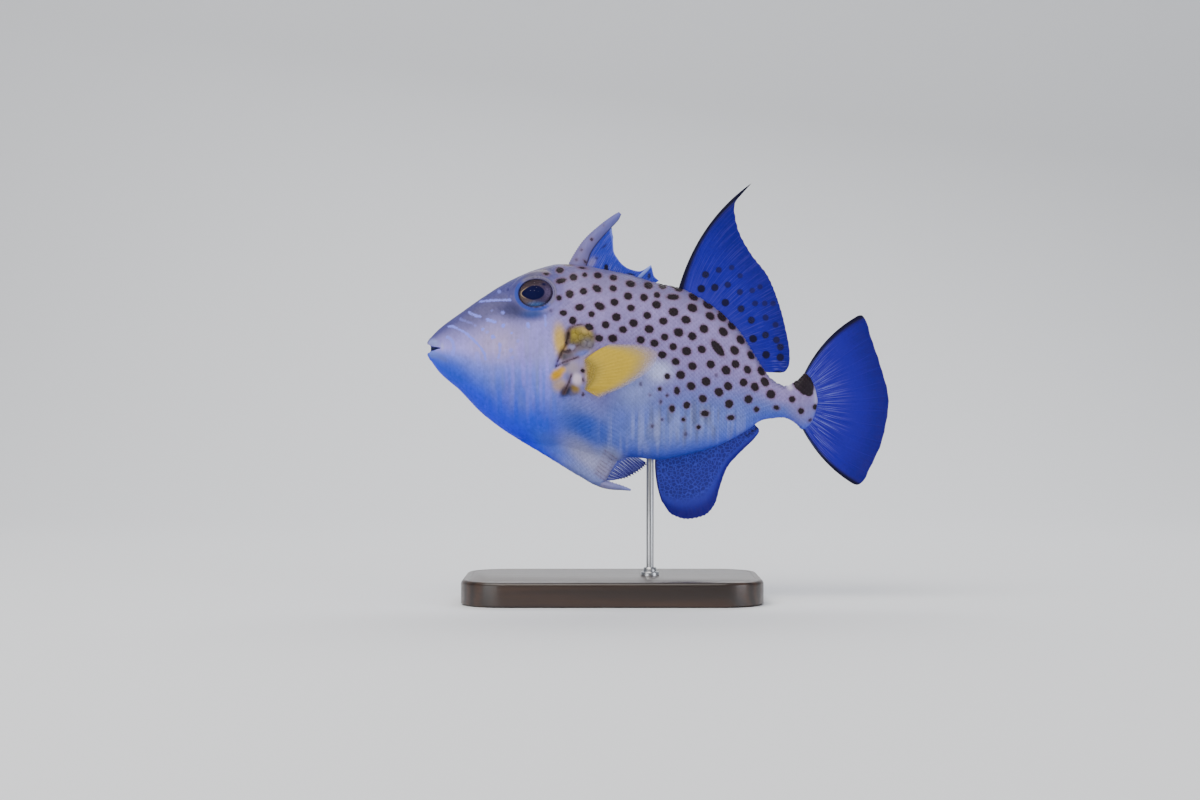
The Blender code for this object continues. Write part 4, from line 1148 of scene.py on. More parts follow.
@dataclass(frozen=True)
class Mouth:
    """Small mouth at the snout's tip, a little open, between plump lips."""

    line: Profile = Profile(((0.0, -0.3), (2.5, -0.25), (4.2, -0.1), (5.0, -0.1)))
    gape: Profile = Profile(((0.0, 1.5), (0.9, 1.4), (2.5, 0.8), (3.6, 0.45), (4.3, 0.26), (5.0, 0.1)))
    corner: float = 5.2
    depth: float = 1.0
    front_depth: float = 1.5
    lip_at: float = 1.95
    lip_half: float = 0.85
    lip_rise: float = 0.42

    def open_share(self, d: Field, h: Field) -> Field:
        """Share of the mouth's depth at points of the side view: 1 inside, 0 on the lips and beyond."""
        gap = np.abs(h - self.line.at(d)) / self.gape.at(d)
        return ramp(gap, 1.05, 0.5) * ramp(d, self.corner, self.corner - 0.7)

    def rise(self, d: Field, h: Field, forward: Field) -> Field:
        """Height of the lips over the plain snout, negative inside the mouth.

        Args:
            d: Distances behind the snout.
            h: Heights above the mouth line.
            forward: How much the skin faces forwards.

        Returns:
            Rise in millimetres.
        """
        off = np.abs(h - self.line.at(d))
        lips = self.lip_rise * hump(off, self.lip_at, self.lip_half) * ramp(d, 4.4, 2.8)
        crease = -0.25 * np.exp(-(((d - 4.9) / 0.5) ** 2 + (off / 2.6) ** 4))
        fold = 0.15 * np.exp(-(((d - 6.2 + 0.12 * off**2) / 0.6) ** 2 + (off / 2.4) ** 4))
        inside = self.open_share(d, h)
        return (lips + crease) * (1 - inside) + fold - (self.depth + self.front_depth * forward**2) * inside


MOUTH = Mouth()


@dataclass
class SkinGrid:
    """The whole skin as one grid of rings, with columns closer together on the upper flank."""

    columns: int = 128
    cap_rings: int = 14
    inset: float = 0.13
    tip: float = 0.7
    crowded: Pair = (0.04, 0.46)
    crowding: float = 1.7
    stretches: tuple[Pair, ...] = (
        (1.5, 0.22), (6, 0.34), (27, 0.24), (54, 0.4), (66, 0.6), (120, 0.4), (126.9, 0.4),
    )
    opening: Pair = (5.5, 4.65)
    socket: float = 2.3
    lid: float = 0.25
    slit_depth: float = 0.9
    slit_rim: float = 0.25
    fold_depth: float = 0.35
    reliefs: tuple[Relief, ...] = tuple(Relief(*row) for row in (
        (31, 10.8, 7.5, 1.8, -6, 1, -0.5), (20, 14, 7, 1.6, 38, 1, -0.2),
        (26.6, 18.6, 0.9, 0.9, 0, 1.5, 0.3), (26.6, 18.6, 0.42, 0.42, 0, 1.5, -1.1),
        (28.2, 16.7, 0.9, 0.9, 0, 1.5, 0.3), (28.2, 16.7, 0.42, 0.42, 0, 1.5, -1.1),
        (49.2, -9.6, 3, 5, 8, 1.6, 0.5), (49.3, -10.2, 1.5, 2.1, 8, 2, 0.35),
        (50.4, 3, 4.4, 3.8, -8, 2, 0.2), (47.8, -6.3, 2.6, 2.2, 0, 1.4, 0.35),
        (42.6, -8.2, 1.6, 1.4, 0, 1.6, 0.25), (52, -26.5, 8.5, 4.5, -28, 1.2, -0.6),
        (41.5, 1, 5, 10, 8, 1.2, 0.4), (24, 3, 9, 8, 0, 1, 0.4),
    ))
    gill: Stroke = Stroke(((46.3, 4.2), (45.9, 1.4), (44.3, -1.2), (42.7, -5.0), (42.2, -6.4)), 0.5)
    folds: tuple[Stroke, ...] = tuple(Stroke(*row) for row in (
        (((49.4, -3.5), (47.2, -4.1), (44.2, -5.3), (42.4, -6.2)), 0.3),
        (((47.8, -9.2), (46.8, -11.4), (45.5, -12.8), (44.9, -15)), 0.3),
        (((46.4, 4.6), (47.1, 6), (48.6, 6.9), (50.6, 7.2), (52.6, 6.6)), 0.3),
        (((48.6, -3), (50.6, -2.8), (52.8, -1.2)), 0.3),
    ))

    def build(self) -> Object:
        """Lay the rings, raise the reliefs and make the skin's mesh.

        Returns:
            The skin.
        """
        ends = [end for end, _ in self.stretches[1:]]
        steps = [np.arange(start, end, pitch) for (start, pitch), end in zip(self.stretches, ends)]
        self.stations = np.concatenate([*steps, ends[-1:]])
        side_h, side_y = self.share_columns()
        ring_h = np.concatenate([side_h, side_h[:, -2:0:-1]], 1)
        ring_y = np.concatenate([-side_y, side_y[:, -2:0:-1]], 1)
        self.points = self.shape(*self.close_snout(self.stations[:, None] + 0 * ring_h, ring_h, ring_y))
        self.normals = self.outward(self.points)
        skin = build_loft("skin", self.points)
        self.map_skin(skin.data, *self.points.shape[:2])
        return skin

    def share_columns(self) -> tuple[Field, Field]:
        """Share the columns out over the flank's girth, closer together on the upper flank.

        Returns:
            Height and half width of each column at each station.
        """
        turn = np.linspace(0, math.pi, 700)
        d = self.stations[:, None]
        widest, back, keel = FORM.widest.at(d), FORM.back.at(d), FORM.keel.at(d)
        h = widest + np.where(np.cos(turn) > 0, back - widest, widest - keel) * np.cos(turn)
        y = FORM.half_width(d + 0 * h, h)
        y[:, 0] = y[:, -1] = 0.0
        pieces = np.hypot(np.diff(h, axis=1), np.diff(y, axis=1))
        arc = np.concatenate([np.zeros_like(d), np.cumsum(pieces, axis=1)], 1)
        self.girths = arc[:, -1]
        fine = np.linspace(0, 1, 400)
        density = 1 + (self.crowding - 1) * ramp(fine, self.crowded[0] - 0.04, self.crowded[0])
        density = density - (self.crowding - 1) * ramp(fine, self.crowded[1], self.crowded[1] + 0.12)
        count = np.cumsum(density)
        count = (count - count[0]) / (count[-1] - count[0])
        self.shares = np.interp(np.linspace(0, 1, self.columns + 1), count, fine)
        side_h = np.array([np.interp(self.shares * a[-1], a, row) for a, row in zip(arc, h)])
        side_y = np.array([np.interp(self.shares * a[-1], a, row) for a, row in zip(arc, y)])
        return side_h, side_y

    def close_snout(self, d: Field, h: Field, y: Field) -> Triple:
        """Add shrinking rings that round off the snout's tip before the first ring."""
        lift = np.linspace(0, math.pi / 2, self.cap_rings + 1)[1:, None]
        shrink = np.cos(lift) ** 0.7
        shrink[-1] = 0.04
        middle = float(MOUTH.line.at(0.0))
        cap_d = self.tip + (self.stations[0] - self.tip) * (1 - np.sin(lift)) + 0 * h[:1]
        caps = (cap_d, middle + (h[:1] - middle) * shrink, y[:1] * shrink)
        return tuple(np.concatenate([cap[::-1], grid]) for cap, grid in zip(caps, (d, h, y)))

    def map_skin(self, mesh: Mesh, rows: int, around: int) -> None:
        """Unwrap the skin along its own rings and columns, cut along the back's ridge."""
        layer = mesh.uv_layers.new(name=BAKE_MAP)
        corners = np.zeros(len(mesh.loops), np.int32)
        mesh.loops.foreach_get("vertex_index", corners)
        row, column = corners // around, corners % around
        starts, totals = zip(*((p.loop_start, p.loop_total) for p in mesh.polygons))
        first = np.repeat(starts, totals)
        seam = (column == 0) & (column[first] > around / 2)
        across = (column + seam * around) / around
        layer.data.foreach_set("uv", np.stack([row / rows, across], 1).astype(np.float32).ravel())

    def shape(self, d: Field, h: Field, y: Field) -> Field:
        """Raise the reliefs on the plain loft.

        Args:
            d: Distances of the grid's points.
            h: Heights of the grid's points.
            y: Side offsets of the grid's points.

        Returns:
            Points in metres.
        """
        plain = place(d, h, y)
        out = self.outward(plain)
        flank = ramp(np.abs(y) / np.maximum(FORM.girth.at(d), 1), 0.1, 0.45)
        rise = sum(r.rise * r.weight(d, h) for r in self.reliefs) * flank
        slit = self.gill.inside(d, h)
        rise = rise - self.slit_depth * ramp(slit, -0.35, 0.25) * flank
        rise = rise + self.slit_rim * hump(slit, -0.9, 0.5) * flank
        for fold in self.folds:
            rise = rise - self.fold_depth * ramp(fold.inside(d, h), -0.5, 0.15) * flank
        rise = rise + MOUTH.rise(d, h, out[..., 0]) - self.inset
        points = plain + out * (rise * MM)[..., None]
        for side in Side:
            spot, along, up, away = FORM.facing(*EYE_AT, side)
            offset = (points - spot) / MM
            x, z = offset @ along, offset @ up
            r, u = np.hypot(x, z), np.hypot(x / self.opening[0], z / self.opening[1])
            lid = np.maximum(EYE_BALL.level(r) + 0.12, self.lid)
            lid = self.lid + (lid - self.lid) * ramp(u, 1.38, 1.04)
            wanted = (lid + self.socket) * ramp(u, 0.96, 1.02) - self.socket
            wanted = wanted + 0.16 * hump(u, 1.07, 0.05) + 0.1 * hump(u, 1.24, 0.05)
            near = ramp(r, 9.5, 6.6) * (y * side.value > 0)
            points = points + away * ((wanted - offset @ away) * near * MM)[..., None]
        return points

    def outward(self, points: Field) -> Field:
        """Unit normals of a grid of rings."""
        along = np.gradient(points, axis=0)
        around = np.roll(points, -1, axis=1) - np.roll(points, 1, axis=1)
        normal = unit(np.cross(around, along))
        return normal * -np.sign(normal[points.shape[0] // 2, self.columns // 2, 1])

    def locate(self, d: Field, arc: Field, side: Side) -> Triple:
        """Find points of the finished skin.

        Args:
            d: Distances behind the snout.
            arc: Distances along the skin, down from the back's ridge.
            side: Which flank.

        Returns:
            The points in metres, their outward normals, and their places on the unwrapped skin.
        """
        row = np.interp(d, self.stations, np.arange(len(self.stations)))
        girth = np.interp(d, self.stations, self.girths)
        column = np.interp(np.clip(arc / girth, 0, 1), self.shares, np.arange(self.columns + 1))
        total = 2 * self.columns
        if side is Side.RIGHT:
            column = total - column
        row = row + self.cap_rings
        r0 = np.clip(row.astype(int), 0, self.points.shape[0] - 2)
        c0 = column.astype(int)
        fr, fc = (row - r0)[:, None], (column - c0)[:, None]
        found = []
        for grid in (self.points, self.normals):
            near = grid[r0, c0 % total] * (1 - fc) + grid[r0, (c0 + 1) % total] * fc
            far = grid[r0 + 1, c0 % total] * (1 - fc) + grid[r0 + 1, (c0 + 1) % total] * fc
            found.append(near * (1 - fr) + far * fr)
        root = np.stack([row / self.points.shape[0], column / total, 0 * row], 1)
        return found[0], unit(found[1]), root


def set_plates(name: str, plate: Object, material: Material, **fields: Field) -> Object:
    """Set a copy of a plate on each point, by Geometry Nodes.

    Args:
        name: Name of the piece.
        plate: The plate, with a patch attribute.
        material: Its finish.
        **fields: The points' place, out, along, size, root and shade.

    Returns:
        The joined plates. The single plate is removed.
    """
    obj = build_mesh(name, fields.pop("place"))
    write_fields(obj.data, **fields)
    NodeForge.plates().run(obj, {"Plate": plate, "Finish": material})
    bpy.data.objects.remove(plate)
    obj.data.shade_smooth()
    return obj


def make_plate(name: str, outline: Field, rings: Sequence[Pair]) -> Object:
    """Make a small raised plate: rings of its outline, each shrunk and lifted, closed by a top face.

    Args:
        name: Name of the plate.
        outline: Corners of its outline, in units of its size.
        rings: Share of the outline and height of each ring.

    Returns:
        The plate, at the origin, with +Z outwards and +X towards the tail.
    """
    count = len(outline)
    layers = [np.column_stack([outline * share, np.full(count, lift)]) for share, lift in rings]
    points = np.concatenate(layers)
    faces = grid_faces(len(rings), count, wrap=True)
    faces.append(tuple(range((len(rings) - 1) * count, len(rings) * count)))
    plate = build_mesh(name, points, faces)
    write_fields(plate.data, patch=np.column_stack([points[:, :2] * PATCH_SCALE, np.zeros(len(points))]))
    return plate


@dataclass
class ScaleCoat:
    """Small bony scales in slanting rows over the skin, and the enlarged plates behind the gill slit."""

    grid: SkinGrid
    markings: Markings
    pitch: float = 1.5
    relief: float = 0.075
    corners: Pair = (0.97, 0.66)
    first: float = 6.5
    last: float = 125.0
    plates: Spread = Spread(50.4, 3.0, 4.1, 3.5, -8)
    spine_at: float = 48.4
    spine_reach: Pair = (3.2, 2.4)
    plate_pitch: float = 2.1
    plate_size: float = 1.22
    smooth: tuple[Spread, ...] = (
        Spread(*EYE_AT, 7.3, 6.2), Spread(49.2, -9.6, 3, 5, 8), Spread(50.4, 3, 4.9, 4.3, -8),
        Spread(47.2, -4.4, 3.6, 6.4), Spread(26.6, 18.6, 1.1, 1.1), Spread(28.2, 16.7, 1.1, 1.1),
        Spread(46.3, -12.5, 1.8, 3.4, 20),
    )

    def bare(self, d: Field, h: Field, arc: Field) -> Field:
        """Where no small scales grow: eye, nostrils, gill slit, fin roots and the large plates."""
        edge = math.exp(-1.0)
        bald = np.max([spread.weight(d, h) for spread in self.smooth], axis=0) > edge
        slit = self.grid.gill.inside(d, h) > -0.7
        spine = (np.abs(d - self.spine_at) < self.spine_reach[0]) & (arc < self.spine_reach[1])
        return bald | slit | spine

    def make_scales(self, side: Side, material: Material) -> Object:
        """Cover one flank with scales.

        Args:
            side: Which flank.
            material: The skin's finish.

        Returns:
            The scales as one piece.
        """
        spots_d, spots_a = [], []
        for k, d in enumerate(np.arange(self.first, self.last, self.pitch / 2)):
            girth = float(np.interp(d, self.grid.stations, self.grid.girths))
            arcs = girth * 0.45 + (np.arange(-60, 60) + 0.5 * (k % 2)) * self.pitch
            arcs = arcs[(arcs > 0.3 * self.pitch) & (arcs < girth - 0.3 * self.pitch)]
            spots_d.append(np.full(len(arcs), d))
            spots_a.append(arcs)
        d, arc = np.concatenate(spots_d), np.concatenate(spots_a)
        point, out, root = self.grid.locate(d, arc, side)
        sd, sh, _ = on_fish(point)
        keep = ~self.bare(sd, sh, arc)
        ahead, _, _ = self.grid.locate(d + 0.5, arc, side)
        along = unit(ahead - point)
        draw = np.random.default_rng(SEED + side.value)
        play = 0.97 + 0.05 * draw.standard_normal(len(d)).clip(-1, 1)
        grown = self.pitch / 2 * MM * play * ramp(d, 2.0, 12.0)
        prickly = ramp(arc, 3.2, 0.8) * ramp(d, 52.0, 64.0)
        size = np.stack([grown, grown, MM * (0.4 + 0.6 * ramp(d, 20.0, 90.0) + 2.6 * prickly)], 1)
        shade = draw.standard_normal(len(d)).clip(-1.5, 1.5)
        outline = polygon(8) * np.where(np.arange(8) % 2 == 0, *self.corners)[:, None]
        lift = self.relief
        plate = make_plate("scale", outline, ((1, -0.3 * lift), (0.86, 0.55 * lift), (0.5, lift)))
        fields = {"out": out, "along": along, "size": size, "root": root, "shade": shade}
        piece = set_plates(
            f"scales_{side.word}", plate, material, place=point[keep],
            **{k: v[keep] for k, v in fields.items()},
        )
        self.markings.dress(piece.data)
        return piece

    def make_plates(self, side: Side, material: Material) -> Object:
        """Set the enlarged, angular plates behind one gill slit, packed like a honeycomb in their oval.

        Args:
            side: Which flank.
            material: The skin's finish.

        Returns:
            The plates as one piece.
        """
        draw = np.random.default_rng(SEED + 3)
        spots = []
        for row in range(-2, 3):
            for k in range(-3, 4):
                x, z = (k + 0.5 * (row % 2)) * self.plate_pitch, row * self.plate_pitch * math.sqrt(0.75)
                if math.hypot(x / self.plates.long, z / self.plates.tall) < 1:
                    along, across = turned(x, z, -self.plates.turn)
                    spots.append((self.plates.d + along, self.plates.h + across))
        found = [FORM.facing(d, h, side) for d, h in spots]
        rings = ((1, -0.25), (0.95, 0.1), (0.82, 0.24), (0.5, 0.32), (0.2, 0.33))
        plate = make_plate("large_plate", polygon(6, 30), rings)
        size = self.plate_size * draw.uniform(0.93, 1.07, len(spots))
        lean = draw.normal(0, 0.07, (len(spots), 3))
        lean[:, 1] = 0.0
        root = np.stack([np.linspace(0.4, 0.45, len(spots)), np.linspace(0.2, 0.3, len(spots)), 0 * size], 1)
        piece = set_plates(
            f"large_plates_{side.word}", plate, material, place=np.array([p for p, _, _, _ in found]),
            out=unit(np.array([n for _, _, _, n in found]) + lean),
            along=np.array([a for _, a, _, _ in found]), size=np.stack([size, size, 0 * size + 1.0], 1) * MM,
            root=root, shade=1.6 * draw.standard_normal(len(spots)),
        )
        self.markings.dress(piece.data)
        return piece


@dataclass
class Fin:
    """A fin: a thin membrane over rays that branch towards its edge.

    A key ray is its share of the fin, root distance, tip distance, tip height, how far its middle
    bows forwards, and its root height where the fin doesn't start on an outline.
    """

    name: str
    node: str
    keys: tuple[tuple[float, ...], ...]
    rays: int
    outline: Profile | None = None
    sink: float = 2.0
    rows: int = 56
    between: int = 6
    sheet: float = 0.16
    ray_radius: float = 0.16
    notch: float = 0.02
    wave: float = 0.0
    splits: Pair = (0.42, 0.7)
    round_ends: Pair = (0.0, 0.0)
    fleshy: float = 0.5
    slot: Slot = Slot.FIN_WEB
    side: Side | None = None
    root_at: float = 51.3
    root_sink: float = 0.5
    flare: float = 15.0

    def point(self, share: Field, v: Field) -> Triple:
        """Place of the fin's middle sheet.

        Args:
            share: Share along the fin, from its first ray to its last.
            v: Share along the ray, from its sunk root to its tip.

        Returns:
            Distance, height and side offset, in millimetres.
        """
        shares, *columns = zip(*self.keys)
        rd, td, th, bow, *rest = (Profile(tuple(zip(shares, column))).at(share) for column in columns)
        rh = self.outline.at(rd) if self.outline else rest[0]
        length = np.hypot(td - rd, th - rh)
        ad, ah = (td - rd) / length, (th - rh) / length
        flip = np.where(ah > 0, 1.0, -1.0)
        md, mh = (rd + td) / 2 - ah * flip * 2 * bow, (rh + th) / 2 + ad * flip * 2 * bow
        rd, rh = rd - ad * self.sink, rh - ah * self.sink
        d = rd * (1 - v) ** 2 + md * 2 * v * (1 - v) + td * v * v
        h = rh * (1 - v) ** 2 + mh * 2 * v * (1 - v) + th * v * v
        y = self.wave * v**1.6 * np.sin(math.tau * share + 0.6)
        if self.side:
            low, high = self.keys[-1][-1], self.keys[0][-1]
            flank = FORM.half_width(self.root_at, np.clip(h, low, high)) - self.root_sink
            y = y + self.side.value * (flank + (d - self.root_at) * math.tan(math.radians(self.flare)))
        return d, h, y

    def reach(self, share: Field) -> Field:
        """Share of each ray's length that the fin keeps, less where its ends are rounded."""
        short = 0.0
        for amount, run in zip(self.round_ends, (share, 1 - share)):
            short = short + amount * (1 - np.sqrt(1 - (1 - np.clip(run / 0.07, 0, 1)) ** 2))
        return 1 - short

    def make_sheet(self) -> Object:
        """Build the membrane as one closed sheet with scallops between its rays."""
        columns = (self.rays - 1) * self.between + 1
        share = np.linspace(0, 1, columns)[:, None]
        phase = (np.arange(columns) % self.between) / self.between
        scallop = np.sin(math.pi * phase)[:, None]
        v = np.linspace(0, 1, self.rows)[None, :] * (self.reach(share) - self.notch * scallop)
        d, h, y = self.point(share + 0 * v, v)
        half = self.sheet / 2 * (1 - 0.5 * v) + self.fleshy * hump(v, 0, 0.13)
        half = half + 0.04 * (1 - scallop)
        points = np.stack([place(d, h, y - half), place(d, h, y + half)])
        count = columns * self.rows
        near = grid_faces(columns, self.rows)
        far = [tuple(i + count for i in q[::-1]) for q in near]
        edge = [c * self.rows for c in range(columns)]
        edge += [(columns - 1) * self.rows + r for r in range(1, self.rows)]
        edge += [c * self.rows + self.rows - 1 for c in range(columns - 2, -1, -1)]
        edge += list(range(self.rows - 2, 0, -1))
        rim = [(b, a, a + count, b + count) for a, b in zip(edge, edge[1:] + edge[:1])]
        sheet = build_mesh(f"{self.name}_membrane", points, near + far + rim)
        face_outwards(sheet)
        across, out = (np.tile(values.ravel(), 2) for values in (share + 0 * v, v))
        write_fields(sheet.data, across=across, out=out)
        return sheet

    def make_rays(self, material: Material) -> Object:
        """Draw the branching rays as tapering tubes, by Geometry Nodes."""
        step = 1 / (self.rays - 1)
        points, edges, radii, across, out = [], [], [], [], []
        branches = ((-1, -1, 0.0), (1, -1, self.splits[0]), (-1, 1, self.splits[1]), (1, 1, self.splits[1]))
        for i in range(self.rays):
            single = i < 2
            for wide, fine, start in branches[: 1 if single else 4]:
                v = np.linspace(start, 0.995 - self.notch, max(6, int(48 * (1 - start))))
                spread = 0.0 if single else 0.25 * wide * ramp(v, self.splits[0], 1.15)
                spread = spread + (0.0 if single else 0.12 * fine * ramp(v, self.splits[1], 1.1))
                share = np.clip((i + spread) * step, 0, 1) + 0 * v
                d, h, y = self.point(share, v * self.reach(share))
                thin = (1 - 0.72 * v) * (1.0 - 0.3 * (start > 0))
                first = sum(len(p) for p in points)
                points.append(place(d, h, y))
                edges += [(first + k, first + k + 1) for k in range(len(v) - 1)]
                radii.append(self.ray_radius * thin * MM)
                across.append(share)
                out.append(v)
        obj = build_mesh(f"{self.name}_rays", np.concatenate(points), (), edges)
        radius, across, out = (np.concatenate(values) for values in (radii, across, out))
        write_fields(obj.data, radius=radius, across=across, out=out)
        NodeForge.tubes().run(obj, {"Sides": 6, "Finish": material})
        return obj

    def make(self, look: "FinLook") -> None:
        """Build, paint and hand over the membrane and the rays.

        Args:
            look: Colours and finishes of the fin.
        """
        sheet = self.make_sheet()
        look.paint(sheet.data, False)
        hand_over(sheet, look.membrane, self.slot, self.node)
        rays = self.make_rays(look.ray)
        look.paint(rays.data, True)
        hand_over(rays, look.ray, self.slot)


@dataclass
class FinLook:
    """Colours of a fin and of its rays from root to edge, its dark marks and how well it covers."""

    membrane: Material
    ray: Material
    root: str
    middle: str
    tip: str
    ray_root: str
    ray_tip: str
    root_span: Pair = (0.05, 0.4)
    tip_span: Pair = (0.6, 0.98)
    ray_fade: Pair = (0.2, 0.75)
    ray_share: float = 0.85
    edge: str | None = None
    edge_width: float = 0.03
    both_edges: bool = False
    rim: str | None = None
    clear: float = 0.92
    fade: float = 0.0
    last_fade: float = 0.0
    first_fade: Pair = (-1.0, -0.5)
    hair: float = 0.0
    hair_span: Pair = (0.7, 0.1)
    hairs: tuple[Patch, ...] = ()
    net_span: Pair = (0.78, 0.6)
    spots: tuple[Spot, ...] = ()
    patches: tuple[Patch, ...] = ()

    def paint(self, mesh: Mesh, is_ray: bool) -> None:
        """Write the fin's colours onto one of its meshes.

        Args:
            mesh: Its membrane or its rays.
            is_ray: Whether the mesh holds the rays.
        """
        across, out = read_field(mesh, "across"), read_field(mesh, "out")
        d, h, _ = on_fish(read_points(mesh))
        tint = blend(linear(self.root), linear(self.middle), ramp(out, *self.root_span))
        tint = blend(tint, linear(self.tip), ramp(out, *self.tip_span))
        for patch in self.patches:
            tint = patch.over(tint, d, h)
        hair = self.hair * ramp(out, *self.hair_span)
        for patch in self.hairs:
            hair = np.maximum(hair, patch.weight(d, h) * patch.amount)
        if is_ray:
            own = blend(linear(self.ray_root), linear(self.ray_tip), ramp(out, *self.ray_fade))
            tint = blend(tint, own, self.ray_share + 0 * d)
        cover = self.clear + (1 - self.clear) * ramp(out, 0.25, 0.05)
        if self.rim:
            tint = blend(tint, linear(self.rim), ramp(out, 0.9, 0.97) * 0.8)
        if self.edge:
            near = ramp(across, self.edge_width, 0.3 * self.edge_width)
            if self.both_edges:
                near = np.maximum(near, ramp(across, 1 - self.edge_width, 1 - 0.3 * self.edge_width))
            tint = blend(tint, linear(self.edge), near)
            cover = np.maximum(cover, near)
        if is_ray:
            cover = np.ones(len(d))
        spot, share = nearest(self.spots, d, h)
        if is_ray:
            tint = blend(tint, linear("#0F0C2D"), ramp(spot, -0.1, 0.3) * share)
        soft = (1 - self.fade * ramp(out, 0.62, 1.0)) * (1 - self.last_fade * ramp(across, 0.84, 1.0))
        cover = cover * soft * ramp(out, *self.first_fade)
        net = ramp(out, *self.net_span)
        write_fields(mesh, tint=tint, hair=hair, cover=cover, net=net, spot=spot, dark_share=share)


@dataclass
class Eye:
    """A bulging eye: an iris with its pupil under a clear cornea."""

    side: Side
    rings: int = 60
    segments: int = 96
    iris_gap: float = 0.3
    cornea_gap: float = 0.05
    pupil_at: Pair = (-0.7, -0.1)
    pupil: Pair = (3.8, 2.55)
    patches: tuple[Patch, ...] = tuple(Patch(*row) for row in (
        (-1.8, -3.1, 2.4, 1.1, -18, 1, "#5A4E4E", 0.85), (-4.6, -0.6, 0.6, 1.8, 10, 1, "#6A5C50", 0.5),
        (4.1, 0.2, 1.5, 2.2, 0, 1.2, "#54496A", 0.7), (0.6, -4.2, 3.4, 1, 0, 1.2, "#35558E", 0.9),
        # Painted shadow: the dark band along the top of the iris, under the upper lid.
        (-1, 3.7, 4.2, 1.3, 8, 1.2, "#2E2630", 0.75),
    ))

    def dome(
        self, name: str, reach: float, sink: Callable[[Field], Field], back: float,
    ) -> tuple[Object, Field, Field]:
        """Build a closed dome in the eye's own place.

        Args:
            name: Name of the piece.
            reach: Its radius.
            sink: How far its front lies under the eyeball's front at each radius.
            back: Depth of its back.

        Returns:
            The dome, and the place of each vertex towards the tail and upwards.
        """
        spot, along, up, out = FORM.facing(*EYE_AT, self.side)
        centre = spot + out * (EYE_BALL.bulge - EYE_BALL.half_depth) * MM
        r = np.sin(np.linspace(0.01, math.pi / 2, self.rings))[:, None] * reach
        a = full_turn(self.segments)[None, :]
        rows_r = np.concatenate([r, r[::-6] * 0.999])
        rear = -back * np.sqrt(np.clip(1 - (r[::-6] / reach) ** 2, 0, 1))
        front = np.concatenate([EYE_BALL.front(r) - sink(r), rear])
        x, z = rows_r * np.cos(a), rows_r * np.sin(a)
        points = centre + (along * x[..., None] + up * z[..., None] + out * (front + 0 * x)[..., None]) * MM
        return build_loft(name, points), x.ravel(), z.ravel()

    def make(self, iris: Material, cornea: Material) -> None:
        """Build the iris and the cornea and hand them over."""
        word = self.side.word
        size = EYE_BALL.radius - self.iris_gap
        inner, x, z = self.dome(
            f"iris_{word}", size, lambda r: self.iris_gap + 0.4 * ramp(r, 5.2, 3.4), 0.35,
        )
        tint = blend(linear("#3A3049"), linear("#4B3E42"), ramp(0.5 * z - 0.6 * x, -1.5, 2.5))
        for patch in self.patches:
            tint = patch.over(tint, x, z)
        rim = np.hypot(x / 5.5, z / 4.65)
        tint = blend(tint, linear("#1C1830"), ramp(rim, 0.86, 1.04) * 0.7)
        long, tall = self.pupil[0], self.pupil[1] * (1 - 0.35 * ramp(x, 0.0, -5.0))
        px, pz = (x - self.pupil_at[0]) / long, (z - self.pupil_at[1]) / tall
        around = np.maximum(np.hypot(px, pz), 0.05)
        pupil = (1 - around) * around / np.maximum(np.hypot(px / long, pz / tall), 0.02)
        shadow = 1.1 - np.hypot((x - 2.6) / 1.6, z - 2.9)
        before = np.cos(np.arctan2(pz, px) - math.pi)
        line = 0.21 * ramp(before, -0.1, 0.9) - 0.11 - np.abs(pupil + 0.2)
        write_fields(inner.data, tint=tint, spot=np.maximum(pupil, 0.6 * shadow - 0.35), line=line)
        hand_over(inner, iris, Slot.EYE, f"eye_{word}")
        clear, _, _ = self.dome(f"cornea_{word}", EYE_BALL.radius - self.cornea_gap, lambda r: 0 * r, 0.2)
        hand_over(clear, cornea, Slot.EYE)


